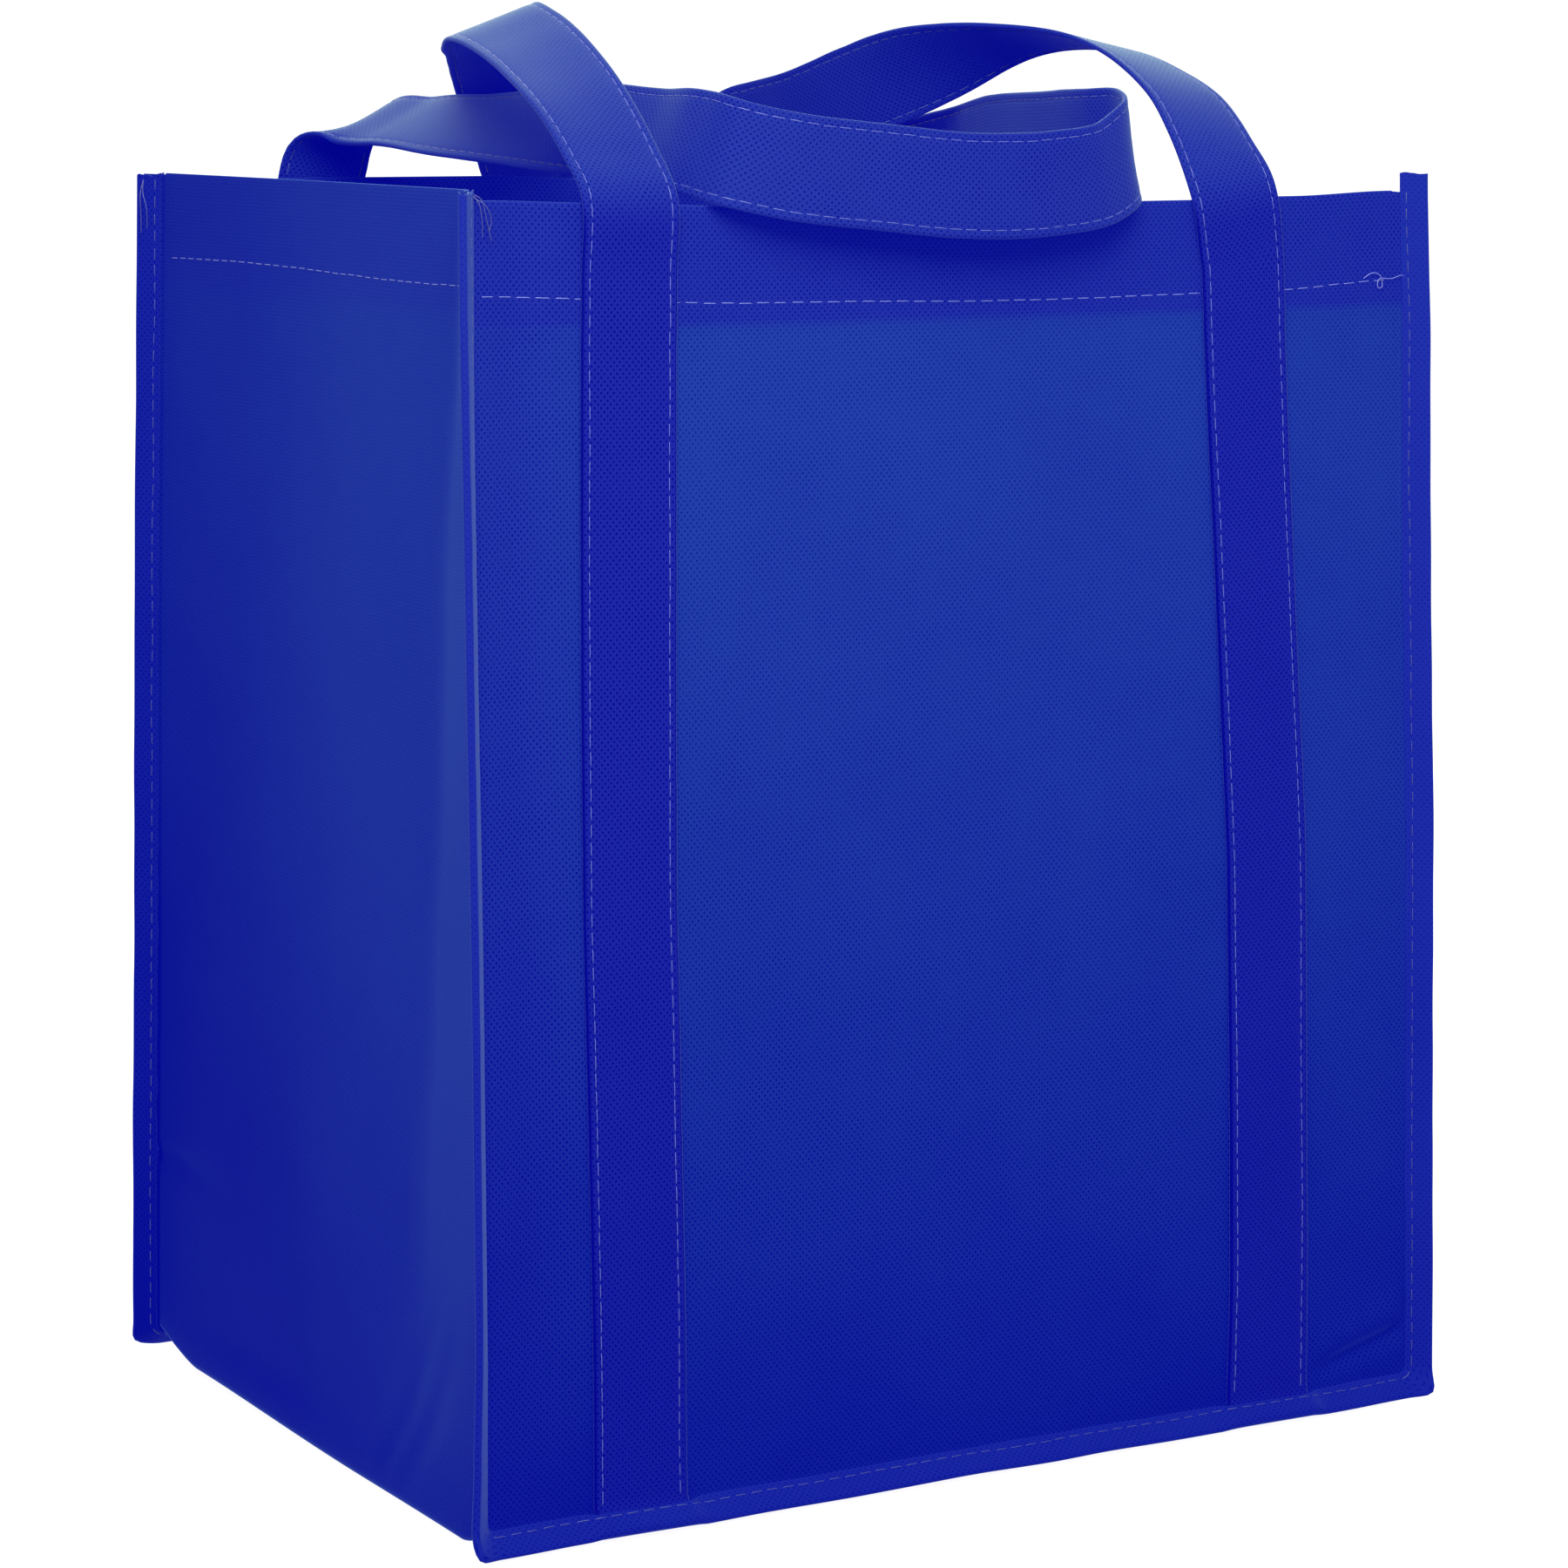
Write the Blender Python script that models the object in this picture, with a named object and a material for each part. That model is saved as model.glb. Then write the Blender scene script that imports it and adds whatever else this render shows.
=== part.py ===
"""Reusable grocery tote in non-woven cloth, modelled in metres with +Z up.

The origin is the middle of the underside. +X runs to the right along the front
panel, -Y is the side the front panel faces. The front and back panels and the
side-bottom-side gusset are flat cut sheets. Their margins are turned outwards
together into a fin along the left, bottom and right edge of each panel, and a
folded binding tape is sewn over each fin. Two long straps run up the panels
from the bottom fins and stand free above the rim as the handles.
"""

import math

import bpy
from mathutils import Vector

MM = 0.001

# Overall sizes, between the seam lines
BAG_WIDTH = 282.8 * MM
BAG_DEPTH = 204.0 * MM
BAG_HEIGHT = 330.0 * MM
MOUTH_INSET_X = 3.2 * MM
MOUTH_INSET_Y = 9.4 * MM

# Sheet, hem and fin
FABRIC = 0.6 * MM
GAP = 0.3 * MM
HEM_DEPTH = 30.0 * MM
HEM_END_INSET = 2.4 * MM
SIDE_RIM_RISE = 2.5 * MM
RIGHT_RIM_RISE = -1.2 * MM
RIGHT_RIM_DIP = 7.0 * MM
FIN_WIDTH = 8.0 * MM
FLANGE_TIP_CLEARANCE = 0.6 * MM
CORNER_RADIUS = 2.5 * MM
BASE_FOLD_RADIUS = 3.5 * MM
SEAM_FLOOR_CLEARANCE = 0.1 * MM

# Binding tape, and how far its ends stand above the rim at each corner
TAPE_THICKNESS = 0.5 * MM
TAPE_ROOT_CLEARANCE = 0.5 * MM
FRONT_TAPE_RISE = (2.5 * MM, 4.6 * MM)
BACK_TAPE_RISE = (3.0 * MM, 3.2 * MM)

# Gusset
BASE_RISE_LENGTH = 14.0 * MM
SIDE_SAG = 5.0 * MM

# Share of the sag at places across a side, from the front seam (-1) to the back seam (1).
# A soft crease runs down the side near the front seam, so the sag starts steeply there.
SAG_PROFILE = ((-1.0, 0.0), (-0.66, 0.8), (-0.2, 1.0), (0.45, 0.66), (1.0, 0.0))

# Handle straps
STRAP_WIDTH = 26.0 * MM
STRAP_THICKNESS = 1.3 * MM
STRAP_END_IN_FIN = 4.6 * MM
LEG_SPACING = 180.0 * MM
LEG_TOP_BELOW_RIM = 18.0 * MM

# Loose base board
BOARD_THICKNESS = 2.0 * MM
BOARD_END_CLEARANCE = 8.5 * MM
BOARD_CORNER_RADIUS = 5.0 * MM

# Detail of the meshes
SIDE_ROWS = 9
CORNER_STEPS = 4
FOLD_STEPS = 4
BIGHT_STEPS = 4
BASE_STEPS = 6
STRAP_STEP = 7.0 * MM
LEG_STEP = 60.0 * MM

HALF_WIDTH = BAG_WIDTH / 2
HALF_DEPTH = BAG_DEPTH / 2
SHEET_PITCH = FABRIC + GAP
FOLD_RADIUS = SHEET_PITCH / 2
RIM_FOLD = FOLD_RADIUS + FABRIC / 2
TAPE_OFFSET = SHEET_PITCH / 2 + FABRIC / 2 + GAP + TAPE_THICKNESS / 2
TAPE_BIGHT = TAPE_OFFSET + TAPE_THICKNESS / 2
FLANGE_LENGTH = FIN_WIDTH - TAPE_BIGHT - FLANGE_TIP_CLEARANCE
STRAP_LIFT = STRAP_THICKNESS + GAP
STRAP_OFFSET = FABRIC / 2 + GAP + STRAP_THICKNESS / 2
ROOT_HALF = math.sqrt(0.5)
SEAM_HEIGHT = (FIN_WIDTH - TAPE_BIGHT) * ROOT_HALF + TAPE_BIGHT + SEAM_FLOOR_CLEARANCE

# The loop routes below were laid over a mouth this deep, with legs this far apart
ROUTE_MOUTH_DEPTH = 185.2 * MM
ROUTE_LEG_SPACING = 180.0 * MM

# How far each panel's rim hangs below the seam corners, at even steps from left to right
FRONT_RIM_DROPS = (0.0, 0.9, 2.0, 2.3, 2.3, 2.3, 2.1, 1.4, 0.3)
BACK_RIM_DROPS = (0.0, -0.8, -1.0, -0.6, 0.8, 2.8, 2.2, 0.8, 0.0)

# Each free point is x, y, height above the rim, then the way across the strap.
# Front handle: it leans back over the mouth and its middle hangs behind the back rim.
FRONT_LEG_X = ((-98.5, -99.5, -96.5), (93.8, 92.3, 85.5))
FRONT_LOOP = (
    (-96.5, -94.3, 1.0, 1.0, 0.0, 0.0),
    (-97.0, -85.0, 11.5, 1.0, 0.0, 0.05),
    (-96.5, -71.0, 22.0, 1.0, 0.05, 0.16),
    (-95.0, -52.0, 31.5, 1.0, 0.05, 0.27),
    (-93.0, -32.0, 38.5, 1.0, 0.0, 0.34),
    (-90.5, -11.0, 42.5, 1.0, -0.12, 0.38),
    (-82.0, 9.0, 40.5, 0.9, -0.35, 0.28),
    (-70.5, 29.0, 36.0, 0.88, -0.45, 0.17),
    (-60.0, 47.5, 30.5, 0.87, -0.5, 0.1),
    (-49.0, 65.5, 23.5, 0.86, -0.5, 0.1),
    (-37.0, 81.5, 13.2, 0.86, -0.47, 0.15),
    (-27.5, 93.5, 2.6, 0.9, -0.38, 0.22),
    (-18.5, 101.5, -5.5, 0.6, -0.15, 0.78),
    (-6.0, 105.5, -9.5, 0.3, 0.05, 0.95),
    (10.0, 106.5, -10.0, 0.05, 0.15, 0.98),
    (24.0, 105.0, -5.0, -0.2, 0.2, 0.96),
    (35.0, 101.5, 4.5, -0.27, 0.25, 0.93),
    (41.0, 95.0, 12.0, -0.25, 0.25, 0.93),
    (43.5, 84.0, 14.5, -0.28, 0.28, 0.92),
    (45.0, 67.0, 17.3, -0.31, 0.4, 0.87),
    (49.5, 40.0, 24.8, -0.31, 0.34, 0.88),
    (58.0, 14.0, 32.8, -0.52, -0.34, 0.78),
    (70.0, -10.0, 39.0, -0.8, -0.5, 0.3),
    (79.5, -37.0, 37.5, -0.9, -0.4, 0.12),
    (81.5, -57.0, 31.5, -0.94, -0.34, 0.05),
    (82.0, -73.0, 23.5, -0.96, -0.26, -0.05),
    (81.2, -86.0, 12.5, -0.99, -0.13, -0.1),
    (82.0, -94.3, 1.0, -0.99, 0.0, -0.13),
)

# Back handle: it comes forward over the mouth, hangs outside the front rim and turns back.
BACK_LEG_X = ((-93.0, -92.0, -91.2), (91.0, 90.0, 88.5))
BACK_LOOP = (
    (-91.0, 94.3, 0.5, -1.0, 0.0, 0.0),
    (-90.0, 92.0, 6.8, -0.99, 0.08, -0.14),
    (-86.5, 84.0, 14.4, -0.91, 0.2, -0.4),
    (-82.0, 62.0, 16.5, -0.87, 0.06, -0.47),
    (-80.5, 27.0, 16.0, -0.8, -0.05, -0.6),
    (-78.5, -10.0, 16.0, -0.65, 0.0, -0.76),
    (-78.5, -42.0, 15.6, -0.48, 0.0, -0.87),
    (-76.0, -66.0, 14.2, -0.42, -0.15, -0.9),
    (-74.3, -85.5, 13.4, -0.22, -0.35, -0.92),
    (-70.5, -97.2, 10.9, -0.1, -0.15, -0.98),
    (-58.0, -102.5, 7.9, 0.0, -0.06, -1.0),
    (-33.0, -105.5, 4.9, 0.0, -0.05, -1.0),
    (-4.0, -107.5, 2.4, 0.05, -0.05, -1.0),
    (19.0, -107.0, 3.0, 0.15, 0.0, -0.97),
    (36.0, -104.0, 5.4, 0.22, 0.0, -0.96),
    (47.0, -98.0, 10.6, 0.16, -0.06, -0.98),
    (50.5, -88.5, 13.2, 0.1, -0.12, -0.99),
    (51.0, -73.0, 13.2, 0.1, -0.05, -0.99),
    (56.0, -45.0, 12.3, 0.1, 0.0, -0.99),
    (66.0, -5.0, 11.0, 0.15, 0.0, -0.98),
    (76.0, 30.0, 7.4, 0.35, 0.05, -0.93),
    (83.5, 60.0, 6.6, 0.7, 0.05, -0.7),
    (87.5, 81.0, 9.0, 0.94, 0.0, -0.33),
    (88.0, 91.5, 7.0, 0.99, 0.0, -0.1),
    (88.0, 94.3, 0.5, 1.0, 0.0, 0.0),
)


def clear_scene():
    """Remove whatever objects the file starts with."""
    for existing in list(bpy.data.objects):
        bpy.data.objects.remove(existing, do_unlink=True)


def make_material(name, colour, roughness):
    """Return a Principled BSDF material in one colour."""
    material = bpy.data.materials.new(name)
    material.use_nodes = True
    shader = material.node_tree.nodes["Principled BSDF"]
    shader.inputs["Base Color"].default_value = (*colour, 1.0)
    shader.inputs["Roughness"].default_value = roughness
    shader.inputs["Metallic"].default_value = 0.0
    material.diffuse_color = (*colour, 1.0)
    return material


def add_object(name, points, faces, material):
    """Make one mesh object from points and faces."""
    mesh = bpy.data.meshes.new(name)
    mesh.from_pydata([tuple(point) for point in points], [], faces)
    mesh.update()
    mesh.materials.append(material)
    part = bpy.data.objects.new(name, mesh)
    bpy.context.collection.objects.link(part)
    return part


def add_sheet_thickness(part):
    """Give a sheet its cloth thickness, half on each side of its middle."""
    solid = part.modifiers.new("Cloth thickness", "SOLIDIFY")
    solid.thickness = FABRIC
    solid.offset = 0.0
    solid.use_even_offset = True
    solid.use_rim = True


def steps(start, end, count):
    """Return count + 1 evenly spaced values from start to end."""
    return [start + (end - start) * i / count for i in range(count + 1)]


def side_x(z):
    """Half the width between the side seams at a height."""
    return HALF_WIDTH - MOUTH_INSET_X * z / BAG_HEIGHT


def panel_y(z):
    """Half the depth between the panels at a height."""
    return HALF_DEPTH - MOUTH_INSET_Y * z / BAG_HEIGHT


def panel_axes(face):
    """Outward normal and upward direction of the front (-1) or back (+1) panel."""
    slope = MOUTH_INSET_Y / BAG_HEIGHT
    outward = Vector((0.0, face, slope)).normalized()
    upward = Vector((0.0, -face * slope, 1.0)).normalized()
    return outward, upward


def flank(base_height, top, sign, radius):
    """Points (x, z) and outward normals (x, z) of one flank, from its top down round the corner."""
    corner_z = base_height + radius
    corner_x = side_x(corner_z) - radius
    tilt = math.atan2(MOUTH_INSET_X, BAG_HEIGHT)
    stations = []
    for z in steps(top, corner_z, SIDE_ROWS):
        stations.append(((sign * side_x(z), z), (sign * math.cos(tilt), math.sin(tilt))))
    for i in range(1, CORNER_STEPS):
        angle = math.pi / 2 * i / CORNER_STEPS
        normal = (sign * math.cos(angle), -math.sin(angle))
        point = (sign * corner_x + radius * normal[0], corner_z + radius * normal[1])
        stations.append((point, normal))
    return stations


def outline(base_height, tops, bottom_xs, radius=CORNER_RADIUS):
    """Points (x, z) and outward normals (x, z) down the left, along the base and up the right."""
    left = flank(base_height, tops[0], -1.0, radius)
    right = flank(base_height, tops[1], 1.0, radius)
    base = [((x, base_height), (0.0, -1.0)) for x in bottom_xs]
    return left + base + list(reversed(right))


def base_columns(extra=()):
    """x positions along the base between the corner arcs."""
    end = side_x(SEAM_HEIGHT + CORNER_RADIUS) - CORNER_RADIUS
    inner = [x for x in extra if abs(x) < end]
    return sorted(set(steps(-end, end, BASE_STEPS) + inner))


def seam_frame(face, point, normal):
    """Seam point, fin direction and direction across the fin, in space."""
    outward, upward = panel_axes(face)
    x, z = point
    place = Vector((x, face * panel_y(z), z))
    edge = Vector((normal[0], 0.0, 0.0)) + upward * normal[1]
    edge.normalize()
    fin = (edge + outward) * ROOT_HALF
    across = (outward - edge) * ROOT_HALF
    return place, fin, across


def panel_seam(face, tops):
    """The seam line of one panel, as frames from the left rim to the right rim."""
    stations = outline(SEAM_HEIGHT, tops, base_columns())
    return [seam_frame(face, point, normal) for point, normal in stations]


def build_panel(name, face, rim_drops, material):
    """A panel: flat sheet, three-sided flange for the fins, and a hem folded inwards."""
    outward, upward = panel_axes(face)
    half_pitch = SHEET_PITCH / 2
    points = []
    roots = []
    tips = []
    top = BAG_HEIGHT - RIM_FOLD
    for place, fin, across in panel_seam(face, (top, top)):
        root = place + across * half_pitch
        roots.append(len(points))
        points.append(root)
        tips.append(len(points))
        points.append(root + fin * FLANGE_LENGTH)
    faces = []
    for i in range(len(roots) - 1):
        faces.append((roots[i], tips[i], tips[i + 1], roots[i + 1]))

    end = side_x(top) - HEM_END_INSET
    middle_y = face * panel_y(top) + outward.y * half_pitch * ROOT_HALF
    middle_z = top + outward.z * half_pitch * ROOT_HALF
    columns = []
    for x, drop in zip(steps(-end, end, len(rim_drops) - 1), rim_drops):
        rim = Vector((x, middle_y, middle_z)) - upward * drop * MM
        centre = rim - outward * FOLD_RADIUS
        column = [len(points)]
        points.append(rim)
        for k in range(1, FOLD_STEPS + 1):
            angle = math.pi * k / FOLD_STEPS
            turn = outward * math.cos(angle) + upward * math.sin(angle)
            column.append(len(points))
            points.append(centre + turn * FOLD_RADIUS)
        column.append(len(points))
        points.append(rim - outward * SHEET_PITCH - upward * HEM_DEPTH)
        columns.append(column)
    rim_line = [column[0] for column in columns]
    faces.append(tuple(roots + list(reversed(rim_line))))
    for left, right in zip(columns, columns[1:]):
        for k in range(len(left) - 1):
            faces.append((left[k], right[k], right[k + 1], left[k + 1]))
    part = add_object(name, points, faces, material)
    add_sheet_thickness(part)
    return part


def side_bow(depth_share, z):
    """How far a side panel stands out of its plane; it sags inwards, so this is negative."""
    height_shape = math.sin(math.pi * min(max(z / BAG_HEIGHT, 0.0), 1.0))
    for (start, low), (end, high) in zip(SAG_PROFILE, SAG_PROFILE[1:]):
        if start <= depth_share <= end:
            sag_shape = low + (high - low) * (depth_share - start) / (end - start)
            return -SIDE_SAG * height_shape * sag_shape
    return 0.0


def base_height(depth_share):
    """Height of the middle of the base sheet: flat on the floor, rising to the seams."""
    flat_share = 1.0 - BASE_RISE_LENGTH / HALF_DEPTH
    seam = SEAM_HEIGHT - SHEET_PITCH / 2 * ROOT_HALF
    rise = max(abs(depth_share) - flat_share, 0.0) / (1.0 - flat_share)
    return FABRIC / 2 + (seam - FABRIC / 2) * rise ** 1.3


def gusset_tops(depth_share):
    """Heights where the left and right hems start to fold; the right rim dips in the middle."""
    dip = RIGHT_RIM_DIP * math.cos(math.pi * depth_share / 2) ** 2
    left = BAG_HEIGHT + SIDE_RIM_RISE - RIM_FOLD
    right = BAG_HEIGHT + RIGHT_RIM_RISE - dip - RIM_FOLD
    return left, right


def gusset_row(depth_share):
    """Points of the gusset across the bag at a share of the depth, left rim to right rim."""
    widen = SHEET_PITCH / 2 * ROOT_HALF
    radius = BASE_FOLD_RADIUS + (CORNER_RADIUS - BASE_FOLD_RADIUS) * depth_share ** 4
    tops = gusset_tops(depth_share)
    stations = outline(base_height(depth_share), tops, base_columns(), radius)
    row = []
    for (x, z), normal in stations:
        bow = side_bow(depth_share, z) if abs(normal[0]) > ROOT_HALF else 0.0
        y = depth_share * (panel_y(z) - widen)
        row.append(Vector((x + math.copysign(widen + bow, x) * abs(normal[0]), y, z)))
    return row


def build_gusset(material):
    """Side, base and side in one sheet, with a flange at front and back and both rims hemmed."""
    half_pitch = SHEET_PITCH / 2
    hem_share = 1.0 - HEM_END_INSET / panel_y(BAG_HEIGHT)
    flat_share = 1.0 - BASE_RISE_LENGTH / HALF_DEPTH
    inner = [0.96, 0.93, flat_share, 0.66, 0.45, 0.2]
    shares = [-hem_share] + [-s for s in inner] + [0.0] + list(reversed(inner)) + [hem_share]
    columns = []
    for face in (-1, 1):
        roots = []
        tips = []
        for place, fin, across in panel_seam(face, gusset_tops(face)):
            root = place - across * half_pitch
            roots.append(root)
            tips.append(root + fin * FLANGE_LENGTH)
        columns.append((roots, tips))
    (front_roots, front_tips), (back_roots, back_tips) = columns
    rows = [front_tips, front_roots]
    rows += [gusset_row(share) for share in shares]
    rows += [back_roots, back_tips]

    points = [point for row in rows for point in row]
    width = len(rows[0])
    faces = []
    for j in range(len(rows) - 1):
        for i in range(width - 1):
            start = j * width + i
            faces.append((start, start + width, start + width + 1, start + 1))

    first_hem = 2
    last_hem = len(rows) - 3
    for edge, sign in ((0, -1.0), (width - 1, 1.0)):
        inward = Vector((-sign, 0.0, 0.0))
        hem_columns = []
        for j in range(first_hem, last_hem + 1):
            rim = rows[j][edge]
            centre = rim + inward * FOLD_RADIUS
            column = [j * width + edge]
            for k in range(1, FOLD_STEPS + 1):
                angle = math.pi * k / FOLD_STEPS
                turn = Vector((0.0, 0.0, math.sin(angle))) - inward * math.cos(angle)
                column.append(len(points))
                points.append(centre + turn * FOLD_RADIUS)
            low = rim + inward * SHEET_PITCH - Vector((0.0, 0.0, HEM_DEPTH))
            low += hem_shift(rim.z, HEM_DEPTH, j, shares, sign)
            column.append(len(points))
            points.append(low)
            hem_columns.append(column)
        for near, far in zip(hem_columns, hem_columns[1:]):
            for k in range(len(near) - 1):
                quad = (near[k], near[k + 1], far[k + 1], far[k])
                faces.append(quad if sign < 0 else tuple(reversed(quad)))
    part = add_object("gusset", points, faces, material)
    add_sheet_thickness(part)
    return part


def hem_shift(rim_z, depth, row, shares, sign):
    """Move of a hem's lower edge that keeps it beside the bowed and leaning side."""
    share = shares[row - 2]
    lean = side_x(rim_z - depth) - side_x(rim_z)
    bow = side_bow(share, rim_z - depth) - side_bow(share, rim_z)
    outwards = sign * (lean + bow)
    deeper = share * (panel_y(rim_z - depth) - panel_y(rim_z))
    return Vector((outwards, deeper, 0.0))


def strap_lift(x, legs):
    """Extra room under the tape where a strap's end is caught in the fin."""
    for leg in legs:
        if abs(x - leg) < STRAP_WIDTH / 2 + GAP * 1.5:
            return STRAP_LIFT
    return 0.0


def tape_section(lift):
    """The folded tape across its length, as (along the fin, across the fin) points."""
    near_root = TAPE_ROOT_CLEARANCE + lift
    half = TAPE_THICKNESS / 2
    near = TAPE_OFFSET + lift
    far = TAPE_OFFSET
    radius = (near + far) / 2
    shift = (near - far) / 2
    turn = FIN_WIDTH - radius - half
    outer = [(near_root, near + half)]
    inner = [(near_root, near - half)]
    for k in range(BIGHT_STEPS + 1):
        angle = math.pi / 2 - math.pi * k / BIGHT_STEPS
        reach = math.cos(angle)
        height = math.sin(angle)
        outer.append((turn + (radius + half) * reach, shift + (radius + half) * height))
        inner.append((turn + (radius - half) * reach, shift + (radius - half) * height))
    outer.append((TAPE_ROOT_CLEARANCE, -far - half))
    inner.append((TAPE_ROOT_CLEARANCE, -far + half))
    return outer + list(reversed(inner))


def build_binding(name, face, rises, legs, material):
    """The tape folded over a panel's fin, from the left rim round the base to the right rim."""
    reach = STRAP_WIDTH / 2 + GAP
    ramp = STRAP_LIFT * 2
    edges = []
    for leg in legs:
        edges += [leg - reach - ramp, leg - reach, leg, leg + reach, leg + reach + ramp]
    top = BAG_HEIGHT - RIM_FOLD
    stations = outline(SEAM_HEIGHT, (top, top), base_columns(edges))
    left_end = ((-side_x(BAG_HEIGHT + rises[0]), BAG_HEIGHT + rises[0]), stations[0][1])
    right_end = ((side_x(BAG_HEIGHT + rises[1]), BAG_HEIGHT + rises[1]), stations[-1][1])
    stations = [left_end] + stations + [right_end]
    points = []
    size = len(tape_section(0.0))
    for point, normal in stations:
        place, fin, across = seam_frame(face, point, normal)
        on_base = normal[1] < -ROOT_HALF and abs(point[0]) < side_x(0.0) - CORNER_RADIUS
        lift = strap_lift(point[0], legs) if on_base else 0.0
        for along, over in tape_section(lift):
            points.append(place + fin * along + across * over)
    faces = []
    for j in range(len(stations) - 1):
        for i in range(size):
            nxt = (i + 1) % size
            faces.append((j * size + i, j * size + nxt, (j + 1) * size + nxt, (j + 1) * size + i))
    half = size // 2
    last = (len(stations) - 1) * size
    for i in range(half - 1):
        faces.append((i, size - 1 - i, size - 2 - i, i + 1))
        faces.append((last + i, last + i + 1, last + size - 2 - i, last + size - 1 - i))
    if face > 0:
        faces = [tuple(reversed(quad)) for quad in faces]
    return add_object(name, points, faces, material)


def leg_stations(face, xs, across_sign, upwards):
    """Stations of a strap leg on its panel, from its end in the fin to below the rim."""
    outward, upward = panel_axes(face)
    foot_x, middle_x, top_x = (x * MM * LEG_SPACING / ROUTE_LEG_SPACING for x in xs)
    place, fin, across = seam_frame(face, (foot_x, SEAM_HEIGHT), (0.0, -1.0))
    surface = SHEET_PITCH / 2 + STRAP_OFFSET
    bend = surface * math.tan(math.pi / 8)
    in_fin = place + across * surface
    on_panel = place + outward * (SHEET_PITCH / 2 * ROOT_HALF + STRAP_OFFSET)
    stations = [in_fin + fin * STRAP_END_IN_FIN, in_fin + fin * bend * 1.6]
    above = [bend * 2.4, bend * 3.6, bend * 6.0, BAG_HEIGHT * 0.45]
    xs_above = [foot_x, foot_x, foot_x, middle_x]
    top_rise = BAG_HEIGHT - LEG_TOP_BELOW_RIM - SEAM_HEIGHT
    for rise, x in zip(above + [top_rise], xs_above + [top_x]):
        point = on_panel + upward * rise
        point.x = x
        stations.append(point)
    wide = Vector((across_sign, 0.0, 0.0))
    result = [(point, wide) for point in stations]
    return result if upwards else list(reversed(result))


def loop_stations(loop):
    """Free stations of a handle, stretched to this bag's mouth and leg spacing."""
    wide = LEG_SPACING / ROUTE_LEG_SPACING
    deep = panel_y(BAG_HEIGHT) * 2 / ROUTE_MOUTH_DEPTH
    result = []
    for x, y, rise, across_x, across_y, across_z in loop:
        point = Vector((x * MM * wide, y * MM * deep, BAG_HEIGHT + rise * MM))
        result.append((point, Vector((across_x, across_y, across_z)).normalized()))
    return result


def hermite(a, b, slope_a, slope_b, share):
    """Cubic between two values with given end slopes."""
    s2 = share * share
    s3 = s2 * share
    return (
        a * (2 * s3 - 3 * s2 + 1)
        + slope_a * (s3 - 2 * s2 + share)
        + b * (3 * s2 - 2 * s3)
        + slope_b * (s3 - s2)
    )


def smooth_route(stations):
    """A smooth curve through the stations, as (point, direction across the strap)."""
    knots = [0.0]
    for (a, _), (b, _) in zip(stations, stations[1:]):
        knots.append(knots[-1] + (b - a).length)

    def slope(values, i):
        low = max(i - 1, 0)
        high = min(i + 1, len(values) - 1)
        if low == i or high == i:
            return (values[high] - values[low]) / (knots[high] - knots[low])
        before = (values[i] - values[low]) / (knots[i] - knots[low])
        after = (values[high] - values[i]) / (knots[high] - knots[i])
        weight = (knots[i] - knots[low]) / (knots[high] - knots[low])
        return before * (1 - weight) + after * weight

    places = [station[0] for station in stations]
    widths = [station[1] for station in stations]
    result = []
    for i in range(len(stations) - 1):
        span = knots[i + 1] - knots[i]
        if span > LEG_STEP:
            count = round(span / LEG_STEP)
            for k in range(count):
                share = k / count
                point = places[i].lerp(places[i + 1], share)
                result.append((point, widths[i].lerp(widths[i + 1], share)))
            continue
        count = max(1, round(span / STRAP_STEP))
        for k in range(count):
            share = k / count
            ends = (slope(places, i) * span, slope(places, i + 1) * span)
            point = hermite(places[i], places[i + 1], ends[0], ends[1], share)
            ends = (slope(widths, i) * span, slope(widths, i + 1) * span)
            wide = hermite(widths[i], widths[i + 1], ends[0], ends[1], share)
            result.append((point, wide))
    result.append(stations[-1])
    return result


def build_handle(name, face, leg_xs, loop, material):
    """One strap: up a panel from its fin, round the loop, and down the panel again."""
    sign = -face
    stations = leg_stations(face, leg_xs[0], sign, True)
    stations += loop_stations(loop)
    stations += leg_stations(face, leg_xs[1], -sign, False)
    route = smooth_route(stations)
    points = []
    for i, (point, wide) in enumerate(route):
        before = route[max(i - 1, 0)][0]
        after = route[min(i + 1, len(route) - 1)][0]
        along = (after - before).normalized()
        wide = (wide - along * wide.dot(along)).normalized()
        proud = wide.cross(along)
        half_wide = wide * STRAP_WIDTH / 2
        half_thick = proud * STRAP_THICKNESS / 2
        points.append(point - half_wide - half_thick)
        points.append(point + half_wide - half_thick)
        points.append(point + half_wide + half_thick)
        points.append(point - half_wide + half_thick)
    faces = [(0, 1, 2, 3)]
    for j in range(len(route) - 1):
        for i in range(4):
            nxt = (i + 1) % 4
            faces.append((j * 4 + i, (j + 1) * 4 + i, (j + 1) * 4 + nxt, j * 4 + nxt))
    last = (len(route) - 1) * 4
    faces.append((last + 3, last + 2, last + 1, last))
    return add_object(name, points, faces, material)


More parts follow.
